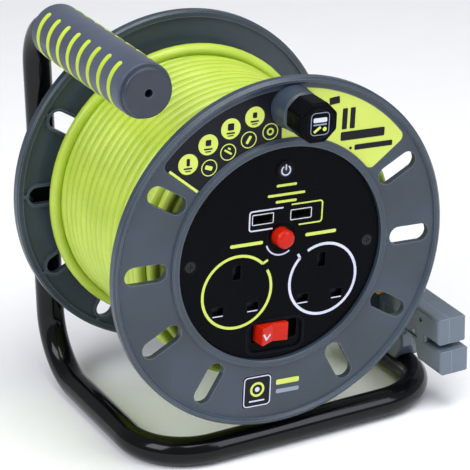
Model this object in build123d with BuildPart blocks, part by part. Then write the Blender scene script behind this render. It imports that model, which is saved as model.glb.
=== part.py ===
from build123d import *

import math
import os

# Extension cord reel on a bent-tube stand. Millimetres, +Z up, front towards -Y.
# The origin is the middle of the whole object's footprint, on the floor.
# Depths are measured back from the front rim of the drum, along the reel's axle.

os.makedirs("parts", exist_ok=True)

# ---- driving dimensions ----
FIT = 0.05  # gap between pieces that touch
CLEAR = 0.1  # gap round a piece that is slid in

FLANGE_R = 105.0
DRUM_DEPTH = 142.0
DRUM_TURN = 4.0  # degrees the drum rests clockwise of upright, seen from the front
AXLE_Z = 126.5
REACH_RIGHT = 131.5
REACH_FRONT = 30.2
REACH_BACK = 170.6

REEL_X = (FLANGE_R - REACH_RIGHT) / 2
RIM_Y = (REACH_FRONT - REACH_BACK) / 2

# Stand tube
TUBE_R = 8.5
TUBE_WALL = 1.5
LEFT_X = -77.5
RIGHT_X = 112.0
FRONT_Y = 13.0
BACK_Y = 160.0
GRIP_Z = 110.0
FOOT_Z = TUBE_R - AXLE_Z
RIGHT_TOP_Z = 15.0
TUBE_START_Y = 10.5
BEND_R = 37.0
TOP_BEND_R = 31.0
CAP_R = TUBE_R - TUBE_WALL

# Drum
WEB_T = 2.5
WEB_SETBACK = 2.2
RIM_DEPTH = 6.5
RIM_IN = 101.0
BARREL_R = 62.0
BARREL_WALL = 2.5
FACE_R = 64.5
FACE_Y = 3.0
FACE_T = 2.6
BEZEL_R = 69.0
LEDGE_IN = 60.5
HUB_BACK = 8.2
SLOT_R = 84.5
SLOT_LEN = 26.0
SLOT_W = 11.0
SLOT_STARTS = (-60.0, 150.0)
SLOT_COUNT = 4
RIB_H = 1.8
SURROUND = 1.5  # width of the raised edge round each slot
NIB = (5.0, 1.6)
REAR_WEB_FRONT = DRUM_DEPTH - WEB_SETBACK - WEB_T

# Cable
CABLE_D = 7.2
COIL_FRONT = 15.4
COIL_BACK = REAR_WEB_FRONT - RIB_H - 0.3
LAYER_STEP = CABLE_D * math.cos(math.radians(30))
COIL_R = BARREL_R + CABLE_D + 2 * LAYER_STEP
PROUD_R = COIL_R + LAYER_STEP
PROUD_WIDTH = 2 * CABLE_D

# Axle and hub
AXLE_R = 11.95
BUSH_IN = 12.0
BUSH_OUT = 14.0
HUB_OUT = 18.0
HUB_FRONT = 120.0
CARRIER_FRONT = 147.5
CARRIER_T = 3.9
STUD_R = 6.0

# Where the cable passes through the barrel's wall
GLAND_Y = 60.0
LEAD_R = CABLE_D / 2
GLAND_R = 5.5
GLAND_HEAD_R = 7.5

# Bosses inside the barrel, and the screws that hold the rear flange to them
DRUM_BOSS_R = 4.2
DRUM_BOSS_FRONT = 96.0
DRUM_BOSS_RING = BARREL_R - BARREL_WALL - 3.5
DRUM_SCREW_R = 1.5
DRUM_SCREW_HEAD_R = 3.4
DRUM_SCREW_LEN = 22.0

# Socket face
SOCKET_X = 27.3
SOCKET_UP = -18.7
PIN_PITCH = 11.1
LINE_SLOT = (7.4, 5.0)
EARTH_SLOT = (5.0, 8.8)
PORT_X = 12.2
PORT_UP = 22.5
SHELL = (13.8, 6.5)
SHELL_WALL = 0.5
RESET_UP = 10.5
RESET_R = 5.6
RESET_TRAVEL = 2.5
LENS_UP = 50.5
LENS_R = 4.2
LENS_BOSS_R = 5.4
SCREW_X = 56.7
SWITCH_X = -0.5
SWITCH_UP = -50.5
WELL = (37.0, 20.5)
WELL_CORNER = 6.0
WELL_LIP = 1.2
ROCKER_X = -4.2
ROCKER_UP = -47.6
ROCKER_W = 21.0
ROCKER_H = 13.8
SHUTTER_TRAVEL = 5.8
SWITCH_BACK = 26.0
SWITCH_BODY = (30.5, 15.0)

# Knob
KNOB_R = 88.0
KNOB_ANGLE = 1.0
BOSS_R = 12.8
BOSS_LEN = 12.0
SPINDLE_R = 5.0
SPINDLE_RUN = 0.08

# Plug park
PARK_X0 = 104.2
PARK_X1 = 119.8
PARK_FLARE = 4.2  # the front of the park's right half is this much wider
PARK_TOP = -66.0
PARK_BOTTOM = -113.0
PARK_BACK = 70.0
PLUG_X = 112.0
PLUG_Z = -80.0
PLATE_T = 6.0
PIN_HALF = 11.1
EARTH_DROP = 22.2
PIN_LINE_Z = PLUG_Z + PIN_HALF


def at(x, y, z):
    """A point given from the reel's axis (x, z) and the front rim (y)."""
    return (REEL_X + x, RIM_Y + y, AXLE_Z + z)


TURN = math.radians(DRUM_TURN)
DRUM_RIGHT = (math.cos(TURN), 0, -math.sin(TURN))
DRUM_UP = (math.sin(TURN), 0, math.cos(TURN))
FORWARD = (0, -1, 0)


def drum_point(x, up, depth):
    """A point given in the turned drum's own right and up directions."""
    return at(x * DRUM_RIGHT[0] + up * DRUM_UP[0], depth, x * DRUM_RIGHT[2] + up * DRUM_UP[2])


def drum_plane(depth, x=0.0, up=0.0):
    """A plane facing forward on the turned drum."""
    return Plane(origin=drum_point(x, up, depth), x_dir=DRUM_RIGHT, z_dir=FORWARD)


def front_plane(depth, x=0.0, z=0.0):
    """A plane facing forward on the stand."""
    return Plane(origin=at(x, depth, z), x_dir=(1, 0, 0), z_dir=FORWARD)


def profile_plane(x=0.0, z=0.0):
    """Radius to the right, depth to the back, for turned shapes."""
    return Plane(origin=at(x, 0, z))


def turned_profile(x, up):
    """The same on the drum, about a point of its face."""
    return Plane(origin=drum_point(x, up, 0))


REEL_AXIS = Axis(at(0, 0, 0), (0, 1, 0))


def drum_axis(x, up):
    return Axis(drum_point(x, up, 0), (0, 1, 0))


def save(part, name):
    part.label = name
    export_step(part, f"parts/{name}.step")


# ============================ stand ============================

TUBE_ROUTE = [
    at(LEFT_X, TUBE_START_Y, GRIP_Z),
    at(LEFT_X, BACK_Y, GRIP_Z),
    at(LEFT_X, BACK_Y, FOOT_Z),
    at(LEFT_X, FRONT_Y, FOOT_Z),
    at(RIGHT_X, FRONT_Y, FOOT_Z),
    at(RIGHT_X, BACK_Y, FOOT_Z),
    at(RIGHT_X, BACK_Y, RIGHT_TOP_Z),
]
BEND_RADII = [TOP_BEND_R] + [BEND_R] * 4


def bent_tube(outer, inner):
    with BuildPart() as tube:
        with BuildLine() as route:
            FilletPolyline(*TUBE_ROUTE, radius=BEND_RADII)
        path = route.wires()[0]
        with BuildSketch(Plane(origin=path @ 0, z_dir=path % 0)):
            Circle(outer)
            if inner:
                Circle(inner, mode=Mode.SUBTRACT)
        sweep(path=path)
    return tube.part


with BuildPart() as frame_tube:
    add(bent_tube(TUBE_R, TUBE_R - TUBE_WALL))
save(frame_tube.part, "frame_tube")

CAP_HEAD = 3.0
CAP_PLUG = 12.0
CAP_FILLET = 2.0
with BuildPart() as tube_end_cap:
    with BuildSketch(Plane.XY.offset(AXLE_Z + RIGHT_TOP_Z)):
        with Locations((REEL_X + RIGHT_X, RIM_Y + BACK_Y)):
            Circle(TUBE_R)
    extrude(amount=CAP_HEAD)
    fillet(tube_end_cap.faces().sort_by(Axis.Z)[-1].edges(), CAP_FILLET)
    with BuildSketch(Plane.XY.offset(AXLE_Z + RIGHT_TOP_Z)):
        with Locations((REEL_X + RIGHT_X, RIM_Y + BACK_Y)):
            Circle(CAP_R - FIT)
    extrude(amount=-CAP_PLUG)
save(tube_end_cap.part, "tube_end_cap")

# Pressed plate across both uprights, which carries the axle
CLAMP_EAR = 15.0
CLAMP_SCREW_R = 2.2
CLAMP_SCREW_XS = (LEFT_X - CLAMP_EAR, LEFT_X + CLAMP_EAR, RIGHT_X - CLAMP_EAR, RIGHT_X + CLAMP_EAR)
CARRIER_R = 30.0
CARRIER_OVER = 11.0
CARRIER_CORNER_UP = 7.0
CARRIER_CORNER_R = 8.0
CARRIER_SLOT_XS = (-44.0, 66.0)
CARRIER_SLOT = (24.0, 12.0)
with BuildPart() as hub_carrier:
    with BuildSketch(front_plane(CARRIER_FRONT)):
        Circle(CARRIER_R)
        for end_x in (LEFT_X - CARRIER_OVER, RIGHT_X + CARRIER_OVER):
            with Locations((end_x, CARRIER_CORNER_UP), (end_x, -CARRIER_CORNER_UP)):
                Circle(CARRIER_CORNER_R)
        make_hull()
    extrude(amount=-CARRIER_T)
    with BuildSketch(front_plane(CARRIER_FRONT)):
        Circle(STUD_R + CLEAR)
        with Locations(*[(screw_x, 0) for screw_x in CLAMP_SCREW_XS]):
            Circle(CLAMP_SCREW_R + CLEAR)
    extrude(amount=-CARRIER_T, mode=Mode.SUBTRACT)
    with BuildSketch(front_plane(CARRIER_FRONT)):
        with Locations(*[(slot_x, 0) for slot_x in CARRIER_SLOT_XS]):
            SlotOverall(*CARRIER_SLOT)
    extrude(amount=-CARRIER_T, mode=Mode.SUBTRACT)
save(hub_carrier.part, "hub_carrier")

CLAMP_H = 16.0
CLAMP_T = 2.0
CLAMP_IN = TUBE_R + CLEAR
EAR_SPAN = 38.6
EAR_DRILL = 8.0
CARRIER_BACK = CARRIER_FRONT + CARRIER_T
with BuildPart() as carrier_clamps:
    for tube_x in (LEFT_X, RIGHT_X):
        centre = at(tube_x, BACK_Y, -CLAMP_H / 2)
        with BuildSketch(Plane(origin=centre)):
            Circle(CLAMP_IN + CLAMP_T)
            with Locations((0, (CARRIER_BACK - BACK_Y) / 2)):
                Rectangle(2 * (CLAMP_IN + CLAMP_T), BACK_Y - CARRIER_BACK - 2 * CLEAR)
            with Locations((0, CARRIER_BACK - BACK_Y + CLEAR + CLAMP_T / 2)):
                Rectangle(EAR_SPAN, CLAMP_T)
            Circle(CLAMP_IN, mode=Mode.SUBTRACT)
            with Locations((0, (CARRIER_BACK - BACK_Y) / 2)):
                Rectangle(2 * CLAMP_IN, BACK_Y - CARRIER_BACK, mode=Mode.SUBTRACT)
            with Locations((0, CARRIER_BACK - BACK_Y - CARRIER_T + CLEAR)):
                Rectangle(EAR_SPAN + 2, 2 * CARRIER_T, mode=Mode.SUBTRACT)
        extrude(amount=CLAMP_H)
    with BuildSketch(front_plane(CARRIER_BACK)):
        with Locations(*[(screw_x, 0) for screw_x in CLAMP_SCREW_XS]):
            Circle(CLAMP_SCREW_R + CLEAR)
    extrude(amount=-EAR_DRILL, mode=Mode.SUBTRACT)
save(carrier_clamps.part, "carrier_clamps")

CARRIER_SCREW_LEN = 8.0
CARRIER_NUT_R = 3.9
CARRIER_NUT_T = 3.0
with BuildPart() as carrier_screws:
    for screw_x in CLAMP_SCREW_XS:
        with BuildSketch(front_plane(CARRIER_FRONT - 1, screw_x)):
            Circle(CLAMP_SCREW_R)
        extrude(amount=-CARRIER_SCREW_LEN)
        with BuildSketch(front_plane(CARRIER_BACK + CLEAR + CLAMP_T, screw_x)):
            RegularPolygon(CARRIER_NUT_R, 6)
        extrude(amount=-CARRIER_NUT_T)
save(carrier_screws.part, "carrier_screws")

# Stub axle bolted to the carrier
AXLE_FRONT = 112.0
CLIP_Y = 116.8
CLIP_T = 1.2
CLIP_GROOVE_R = 10.6
COLLAR_FRONT = 144.6
STUD_BACK = 162.0
with BuildPart() as axle:
    with BuildSketch(profile_plane()):
        with BuildLine():
            Polyline(
                (0, AXLE_FRONT),
                (AXLE_R - 1, AXLE_FRONT),
                (AXLE_R, AXLE_FRONT + 1),
                (AXLE_R, CLIP_Y),
                (CLIP_GROOVE_R, CLIP_Y),
                (CLIP_GROOVE_R, CLIP_Y + CLIP_T),
                (AXLE_R, CLIP_Y + CLIP_T),
                (AXLE_R, COLLAR_FRONT),
                (HUB_OUT, COLLAR_FRONT),
                (HUB_OUT, CARRIER_FRONT),
                (STUD_R, CARRIER_FRONT),
                (STUD_R, STUD_BACK - 1),
                (STUD_R - 1, STUD_BACK),
                (0, STUD_BACK),
                close=True,
            )
        make_face()
    revolve(axis=REEL_AXIS)
save(axle.part, "axle")

NUT_T = 8.0
NUT_R = 10.5
with BuildPart() as axle_nut:
    with BuildSketch(front_plane(CARRIER_BACK)):
        RegularPolygon(NUT_R, 6)
        Circle(STUD_R + FIT, mode=Mode.SUBTRACT)
    extrude(amount=-NUT_T)
save(axle_nut.part, "axle_nut")

WASHER_T = 1.5
with BuildPart() as axle_washer:
    with BuildSketch(front_plane(CLIP_Y + CLIP_T)):
        Circle(HUB_OUT)
        Circle(AXLE_R + CLEAR, mode=Mode.SUBTRACT)
    extrude(amount=-WASHER_T)
save(axle_washer.part, "axle_washer")

CLIP_R = 16.0
CLIP_MOUTH = (12.0, 14.0)
with BuildPart() as axle_clip:
    with BuildSketch(front_plane(CLIP_Y)):
        Circle(CLIP_R)
        Circle(CLIP_GROOVE_R, mode=Mode.SUBTRACT)
        with Locations((0, -CLIP_MOUTH[1])):
            Rectangle(*CLIP_MOUTH, mode=Mode.SUBTRACT)
    extrude(amount=-CLIP_T)
save(axle_clip.part, "axle_clip")

# Hand grip on the top run of the tube
GRIP_FRONT = 9.0
GRIP_BACK = 128.0
GRIP_R = 16.0
CORE_R = 12.0
CORE_INSET = 2.0
GRIP_LIP = 2.0
GRIP_BACK_FILLET = 2.5
GRIP_FRONT_FILLET = 1.3
RIB_COUNT = 8
RIB_FIRST = 21.5
RIB_PITCH = 13.6
RIB_W = 3.6
RIB_DEEP = 1.4
RIB_PROUD = 0.35
RIB_WRAP = 62.0
SPINE_START = 240.0  # the band along the underside that joins the ribs
SPINE_SPAN = 60.0
SPINE_OVER = 4.0
with BuildPart() as grip_core:
    with BuildSketch(front_plane(GRIP_FRONT + CORE_INSET, LEFT_X, GRIP_Z)):
        Circle(CORE_R)
        Circle(TUBE_R + FIT, mode=Mode.SUBTRACT)
    extrude(amount=-(GRIP_BACK - GRIP_FRONT - 2 * CORE_INSET))
save(grip_core.part, "grip_core")

with BuildPart() as grip_ribs:
    for number in range(RIB_COUNT):
        rib_y = RIB_FIRST + number * RIB_PITCH
        for side in (0, 180):
            with BuildSketch(front_plane(rib_y - RIB_W / 2, LEFT_X, GRIP_Z)) as rib:
                with BuildLine():
                    start = side - RIB_WRAP
                    outer = CenterArc((0, 0), GRIP_R + RIB_PROUD, start, 2 * RIB_WRAP)
                    inner = CenterArc((0, 0), GRIP_R - RIB_DEEP, start, 2 * RIB_WRAP)
                    Line(outer @ 0, inner @ 0)
                    Line(outer @ 1, inner @ 1)
                make_face()
            extrude(amount=-RIB_W)
    # The upper end of each rib is rounded
    short_edges = grip_ribs.edges().filter_by(lambda e: abs(e.length - RIB_DEEP - RIB_PROUD) < 0.01)
    fillet(short_edges.filter_by(lambda e: e.center().Z > AXLE_Z + GRIP_Z), RIB_W / 2 - 0.2)
    with BuildSketch(front_plane(RIB_FIRST - SPINE_OVER, LEFT_X, GRIP_Z)):
        with BuildLine():
            outer = CenterArc((0, 0), GRIP_R + RIB_PROUD, SPINE_START, SPINE_SPAN)
            inner = CenterArc((0, 0), GRIP_R - RIB_DEEP, SPINE_START, SPINE_SPAN)
            Line(outer @ 0, inner @ 0)
            Line(outer @ 1, inner @ 1)
        make_face()
    extrude(amount=-((RIB_COUNT - 1) * RIB_PITCH + 2 * SPINE_OVER))
save(grip_ribs.part, "grip_ribs")

with BuildPart() as grip:
    with BuildSketch(front_plane(GRIP_FRONT, LEFT_X, GRIP_Z)):
        Circle(GRIP_R)
        Circle(CORE_R, mode=Mode.SUBTRACT)
    extrude(amount=-(GRIP_BACK - GRIP_FRONT))
    with BuildSketch(front_plane(GRIP_BACK - GRIP_LIP, LEFT_X, GRIP_Z)):
        Circle((CORE_R + GRIP_R) / 2)
        Circle(TUBE_R + CLEAR, mode=Mode.SUBTRACT)
    extrude(amount=-GRIP_LIP)
    fillet(grip.faces().sort_by(Axis.Y)[-1].edges().sort_by(SortBy.RADIUS)[-1], GRIP_BACK_FILLET)
    fillet(grip.faces().sort_by(Axis.Y)[0].edges().sort_by(SortBy.RADIUS)[-1], GRIP_FRONT_FILLET)
    add(grip_ribs.part, mode=Mode.SUBTRACT)
save(grip.part, "grip")

END_CAP_FRONT = 4.8
END_CAP_R = 14.6
END_CAP_FILLET = 2.0
END_CAP_STEP = 1.3
END_CAP_STEM = 15.5
GRIP_SCREW_R = 2.5
GRIP_SCREW_SUNK = 5.0
GRIP_SCREW_LEN = 15.0
with BuildPart() as grip_end_cap:
    with BuildSketch(front_plane(END_CAP_FRONT, LEFT_X, GRIP_Z)):
        Circle(END_CAP_R)
    extrude(amount=-(GRIP_FRONT - END_CAP_FRONT))
    fillet(grip_end_cap.faces().sort_by(Axis.Y)[0].edges(), END_CAP_FILLET)
    with BuildSketch(front_plane(GRIP_FRONT, LEFT_X, GRIP_Z)):
        Circle(CORE_R - CLEAR)
    extrude(amount=-END_CAP_STEP)
    with BuildSketch(front_plane(GRIP_FRONT, LEFT_X, GRIP_Z)):
        Circle(CAP_R - FIT)
    extrude(amount=-END_CAP_STEM)
    with BuildSketch(front_plane(END_CAP_FRONT, LEFT_X, GRIP_Z)):
        Circle(GRIP_SCREW_R)
    extrude(amount=-(GRIP_SCREW_SUNK + GRIP_SCREW_LEN + 4), mode=Mode.SUBTRACT)
save(grip_end_cap.part, "grip_end_cap")

with BuildPart() as grip_screw:
    with BuildSketch(front_plane(END_CAP_FRONT + GRIP_SCREW_SUNK, LEFT_X, GRIP_Z)):
        Circle(GRIP_SCREW_R - FIT)
    extrude(amount=-GRIP_SCREW_LEN)
save(grip_screw.part, "grip_screw")

# ============================ plug park ============================
# Two clamshell halves on the right foot, and a slotted plate that takes the plug's pins

LOBE_SPLIT = -82.4
LOBE_GAP = 3.2
LOBE_LOW = -101.0
LOBE_FRONT = -3.0
LOBE_FILLET = 3.0
LOBE_ROUND = 5.5
PARK_MID = (PARK_X0 + PARK_X1) / 2
CUT_BACK = 15.0
FLARE_BACK = 50.0
PARK_ARCH = ((50, PARK_BOTTOM), (42, -101), (42, -93), (37, -88), (28, -90))  # over the foot's bend


def park_outline():
    """The clamshell's side outline: x is depth and y is height, from the reel's axis."""
    with BuildLine() as outline:
        Polyline(
            (0, PARK_TOP),
            (PARK_BACK, PARK_TOP),
            (PARK_BACK, PARK_BOTTOM),
            *PARK_ARCH,
            (24, LOBE_LOW),
            (LOBE_FRONT, LOBE_LOW),
            (LOBE_FRONT, LOBE_SPLIT - LOBE_GAP),
            (CUT_BACK, LOBE_SPLIT - LOBE_GAP),
            (CUT_BACK, LOBE_SPLIT),
            (0, LOBE_SPLIT),
            close=True,
        )
    make_face(outline.edges())


def side_plane(x):
    """A plane facing right: x is depth and y is height."""
    return Plane(origin=at(x, 0, 0), x_dir=(0, 1, 0), z_dir=(1, 0, 0))


saddle = bent_tube(TUBE_R + 0.15, 0)
PARK_SCREWS = ((20, -73), (30, -85), (62, -103))
PARK_SCREW_R = 1.5
PARK_SCREW_INSET = 1.2
WALL = 2.2
CHANNEL_AT = (40.0, -75.5)
CHANNEL = (52.0, 9.0)
EARTH_POCKET = (24.0, 12.0)
TONGUE_AT = (44.0, -83.0)
TONGUE = (40.0, 8.0)
TONGUE_DEEP = 1.0


def park_half(x_from, x_to, inner_from, inner_to):
    with BuildPart() as half:
        with BuildSketch(side_plane(x_from)) as outline:
            park_outline()
            lower_lobe, upper_lobe = outline.vertices().group_by(Axis.Y)[:2]
            fillet(lower_lobe, LOBE_ROUND)
            fillet(upper_lobe, LOBE_FILLET)
        extrude(amount=x_to - x_from)
        outer_face = half.faces().sort_by(Axis.X)[0 if x_from == PARK_X0 else -1]
        fillet(outer_face.edges(), LOBE_FILLET - 0.8)
        with BuildSketch(side_plane(inner_from)):
            with Locations(CHANNEL_AT):
                Rectangle(*CHANNEL)
            with Locations((PARK_BACK - 10, PIN_LINE_Z - EARTH_DROP)):
                Rectangle(*EARTH_POCKET)
        extrude(amount=inner_to - inner_from, mode=Mode.SUBTRACT)
        for depth, height in PARK_SCREWS:
            with BuildSketch(side_plane(x_from)):
                with Locations((depth, height)):
                    Circle(PARK_SCREW_R + 2 * CLEAR)
            extrude(amount=x_to - x_from, mode=Mode.SUBTRACT)
    return half.part


with BuildPart() as park_half_left:
    add(park_half(PARK_X0, PARK_MID, PARK_X0 + WALL, PARK_MID))
    add(saddle, mode=Mode.SUBTRACT)
    # Recess in the outside wall, round the clip's springy tongue
    with BuildSketch(side_plane(PARK_X0)):
        with Locations(TONGUE_AT):
            Rectangle(*TONGUE)
    extrude(amount=TONGUE_DEEP, mode=Mode.SUBTRACT)
save(park_half_left.part, "park_half_left")

with BuildPart() as park_half_right:
    add(park_half(PARK_MID + FIT, PARK_X1 + PARK_FLARE, PARK_MID + FIT, PARK_X1 - WALL))
    add(saddle, mode=Mode.SUBTRACT)
    # Behind the lobes the half is narrow, and leaves room for the plug's right pin
    with BuildSketch(side_plane(PARK_X1)):
        with Locations(((FLARE_BACK + PARK_BACK) / 2 + 1, (PARK_TOP + PARK_BOTTOM) / 2)):
            Rectangle(PARK_BACK - FLARE_BACK + 2, PARK_TOP - PARK_BOTTOM + 2)
    extrude(amount=PARK_FLARE + 1, mode=Mode.SUBTRACT)
save(park_half_right.part, "park_half_right")

with BuildPart() as park_screws:
    for depth, height in PARK_SCREWS:
        with BuildSketch(side_plane(PARK_X0 + PARK_SCREW_INSET)):
            with Locations((depth, height)):
                Circle(PARK_SCREW_R)
        extrude(amount=PARK_X1 - PARK_X0 - 2 * PARK_SCREW_INSET)
save(park_screws.part, "park_screws")

PLATE_BACK = PARK_BACK + FIT + PLATE_T
PLATE_RIGHT = REACH_RIGHT
PLATE_LEFT = 2 * PLUG_X - PLATE_RIGHT
PLATE_TOP = -60.0
PLATE_LOW = -104.0
PLATE_CORNER = 5.0
PLATE_LINE_SLOT = (6.6, 4.3)
PLATE_EARTH_SLOT = (4.3, 8.3)
with BuildPart() as park_plate:
    with BuildSketch(front_plane(PARK_BACK + FIT)) as outline:
        with Locations((PLUG_X, (PLATE_TOP + PLATE_LOW) / 2)):
            RectangleRounded(PLATE_RIGHT - PLATE_LEFT, PLATE_TOP - PLATE_LOW, PLATE_CORNER)
    extrude(amount=-PLATE_T)
    with BuildSketch(front_plane(PARK_BACK + FIT)):
        with Locations((PLUG_X - PIN_HALF, PIN_LINE_Z), (PLUG_X + PIN_HALF, PIN_LINE_Z)):
            Rectangle(*PLATE_LINE_SLOT)
        with Locations((PLUG_X, PIN_LINE_Z - EARTH_DROP)):
            Rectangle(*PLATE_EARTH_SLOT)
    extrude(amount=-PLATE_T, mode=Mode.SUBTRACT)
save(park_plate.part, "park_plate")

# ============================ plug ============================

PLUG_FACE = PLATE_BACK + CLEAR
RELIEF_R = 5.3
RELIEF_COLLAR_R = 7.0
RELIEF_TIP_R = 4.4
RELIEF_IN = 5.0
RELIEF_LEN = 24.0
PLUG_SIZE = 48.0
BASE_T = 11.0
COVER_T = 12.0
PIN_LEN = 17.6
PIN_ROOT = 6.0
LINE_PIN = (6.3, 4.0)
EARTH_PIN = (4.0, 7.9)
EARTH_LONGER = 5.0
PIN_CHAMFER = 0.8
PLUG_NECK = 11.0
PLUG_TAPER = 0.7
PLUG_LOW_SHOULDER = 12.0
PLUG_TOP_SHOULDER = 14.0
PLUG_CORNER = 3.0
PLUG_WALL = 2.4


def plug_outline(shrink=0.0):
    """Pin side down, cord side up, with the shoulders drawn in towards the cord."""
    half = PLUG_SIZE / 2 - shrink
    low = PLUG_Z - half
    top = PLUG_Z + half
    with BuildLine() as outline:
        Polyline(
            (PLUG_X - half * PLUG_TAPER, low),
            (PLUG_X + half * PLUG_TAPER, low),
            (PLUG_X + half, low + PLUG_LOW_SHOULDER),
            (PLUG_X + half, top - PLUG_TOP_SHOULDER),
            (PLUG_X + PLUG_NECK - shrink, top),
            (PLUG_X - PLUG_NECK + shrink, top),
            (PLUG_X - half, top - PLUG_TOP_SHOULDER),
            (PLUG_X - half, low + PLUG_LOW_SHOULDER),
            close=True,
        )
    make_face(outline.edges())


FUSE_R = 3.1
FUSE_X = PLUG_X + PIN_HALF
FUSE_LEN = 25.0
with BuildPart() as plug_pins:
    with BuildSketch(front_plane(PLUG_FACE)):
        with Locations((PLUG_X - PIN_HALF, PIN_LINE_Z), (PLUG_X + PIN_HALF, PIN_LINE_Z)):
            Rectangle(*LINE_PIN)
    extrude(amount=PIN_LEN)
    extrude(plug_pins.faces().sort_by(Axis.Y)[-1], amount=PIN_ROOT)
    extrude(plug_pins.faces().sort_by(Axis.Y)[-2], amount=PIN_ROOT)
    chamfer(plug_pins.faces().group_by(Axis.Y)[0].edges(), PIN_CHAMFER)
    with BuildSketch(front_plane(PLUG_FACE)) as earth_pin:
        with Locations((PLUG_X, PIN_LINE_Z - EARTH_DROP)):
            Rectangle(*EARTH_PIN)
    extrude(amount=PIN_LEN + EARTH_LONGER)
    extrude(earth_pin.sketch, amount=-PIN_ROOT)
save(plug_pins.part, "plug_pins")

with BuildPart() as plug_base:
    with BuildSketch(front_plane(PLUG_FACE)) as outline:
        plug_outline()
        fillet(outline.vertices(), PLUG_CORNER)
    extrude(amount=-BASE_T)
    chamfer(plug_base.faces().sort_by(Axis.Y)[0].edges(), 1)
    with BuildSketch(front_plane(PLUG_FACE + PLUG_WALL)) as cavity:
        plug_outline(PLUG_WALL)
        fillet(cavity.vertices(), PLUG_CORNER - 1)
    extrude(amount=-BASE_T, mode=Mode.SUBTRACT)
    add(plug_pins.part, mode=Mode.SUBTRACT)
    with BuildSketch(Plane.XY.offset(AXLE_Z + PLUG_Z + PLUG_SIZE / 2 - RELIEF_IN)):
        with Locations((REEL_X + PLUG_X, RIM_Y + PLUG_FACE + BASE_T)):
            Circle(RELIEF_R + CLEAR)
    extrude(amount=RELIEF_IN + 1, mode=Mode.SUBTRACT)
save(plug_base.part, "plug_base")

SCREW_Z = PLUG_Z - 4.0
PLUG_SCREW_R = 2.2
COVER_FILLET = 3.5
with BuildPart() as plug_cover:
    with BuildSketch(front_plane(PLUG_FACE + BASE_T + FIT)) as outline:
        plug_outline()
        fillet(outline.vertices(), PLUG_CORNER)
    extrude(amount=-COVER_T)
    fillet(plug_cover.faces().sort_by(Axis.Y)[-1].edges(), COVER_FILLET)
    with BuildSketch(front_plane(PLUG_FACE + BASE_T + FIT)) as cavity:
        plug_outline(PLUG_WALL)
        fillet(cavity.vertices(), PLUG_CORNER - 1)
    extrude(amount=-(COVER_T - PLUG_WALL), mode=Mode.SUBTRACT)
    with BuildSketch(front_plane(PLUG_FACE + BASE_T, PLUG_X, SCREW_Z)):
        Circle(PLUG_SCREW_R + CLEAR)
    extrude(amount=-COVER_T - 1, mode=Mode.SUBTRACT)
    with BuildSketch(Plane.XY.offset(AXLE_Z + PLUG_Z + PLUG_SIZE / 2 - RELIEF_IN)):
        with Locations((REEL_X + PLUG_X, RIM_Y + PLUG_FACE + BASE_T)):
            Circle(RELIEF_R + CLEAR)
    extrude(amount=RELIEF_IN + 1, mode=Mode.SUBTRACT)
save(plug_cover.part, "plug_cover")

with BuildPart() as plug_screw:
    with BuildSketch(front_plane(PLUG_FACE + 4, PLUG_X, SCREW_Z)):
        Circle(PLUG_SCREW_R)
    extrude(amount=-(BASE_T + COVER_T - 2 * PLUG_WALL - 0.4))
save(plug_screw.part, "plug_screw")

with BuildPart() as plug_fuse:
    with BuildSketch(Plane.XY.offset(AXLE_Z + PIN_LINE_Z + 1.5 - FUSE_LEN)):
        with Locations((REEL_X + FUSE_X, RIM_Y + PLUG_FACE + 12)):
            Circle(FUSE_R)
    extrude(amount=FUSE_LEN)
save(plug_fuse.part, "plug_fuse")

RELIEF_LOW = PLUG_Z + PLUG_SIZE / 2 - RELIEF_IN
RELIEF_TOP = RELIEF_LOW + RELIEF_LEN
RELIEF_Y = PLUG_FACE + BASE_T
with BuildPart() as plug_strain_relief:
    with BuildSketch(Plane(origin=at(PLUG_X, RELIEF_Y, 0), x_dir=(1, 0, 0), z_dir=(0, -1, 0))):
        with BuildLine():
            Polyline(
                (0, RELIEF_LOW),
                (RELIEF_R, RELIEF_LOW),
                (RELIEF_R, RELIEF_LOW + RELIEF_IN + 1),
                (RELIEF_COLLAR_R, RELIEF_LOW + RELIEF_IN + 1.2),
                (RELIEF_COLLAR_R, RELIEF_LOW + RELIEF_IN + 4),
                (RELIEF_TIP_R, RELIEF_TOP),
                (0, RELIEF_TOP),
                close=True,
            )
        make_face()
    revolve(axis=Axis(at(PLUG_X, RELIEF_Y, 0), (0, 0, 1)))
save(plug_strain_relief.part, "plug_strain_relief")

# ============================ drum ============================


def flange_slots():
    for start in SLOT_STARTS:
        with PolarLocations(SLOT_R, SLOT_COUNT, start_angle=start, angular_range=90, endpoint=True):
            SlotOverall(SLOT_LEN, SLOT_W)


def slot_ribs():
    for start in SLOT_STARTS:
        with PolarLocations(SLOT_R, SLOT_COUNT, start_angle=start, angular_range=90, endpoint=True):
            SlotOverall(SLOT_LEN + 2 * SURROUND, SLOT_W + 2 * SURROUND)
        nib_r = SLOT_R + (SLOT_LEN + NIB[0]) / 2
        with PolarLocations(nib_r, SLOT_COUNT, start_angle=start, angular_range=90, endpoint=True):
            Rectangle(*NIB)
    for start in SLOT_STARTS:
        with PolarLocations(SLOT_R, SLOT_COUNT, start_angle=start, angular_range=90, endpoint=True):
            SlotOverall(SLOT_LEN, SLOT_W, mode=Mode.SUBTRACT)


LABEL_IN = 69.8
LABEL_OUT = 98.2
LABEL_END = 51.5
LABEL_SPLIT = -3.0
LABEL_RECESS = 0.5
LABEL_T = 0.45


def label_sector(start, end, r_in, r_out):
    """A ring sector between two clockwise angles from the top."""
    with BuildLine() as sector:
        outer = CenterArc((0, 0), r_out, 90 - end, end - start)
        inner = CenterArc((0, 0), r_in, 90 - end, end - start)
        Line(outer @ 0, inner @ 0)
        Line(outer @ 1, inner @ 1)
    make_face(sector.edges())


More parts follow.
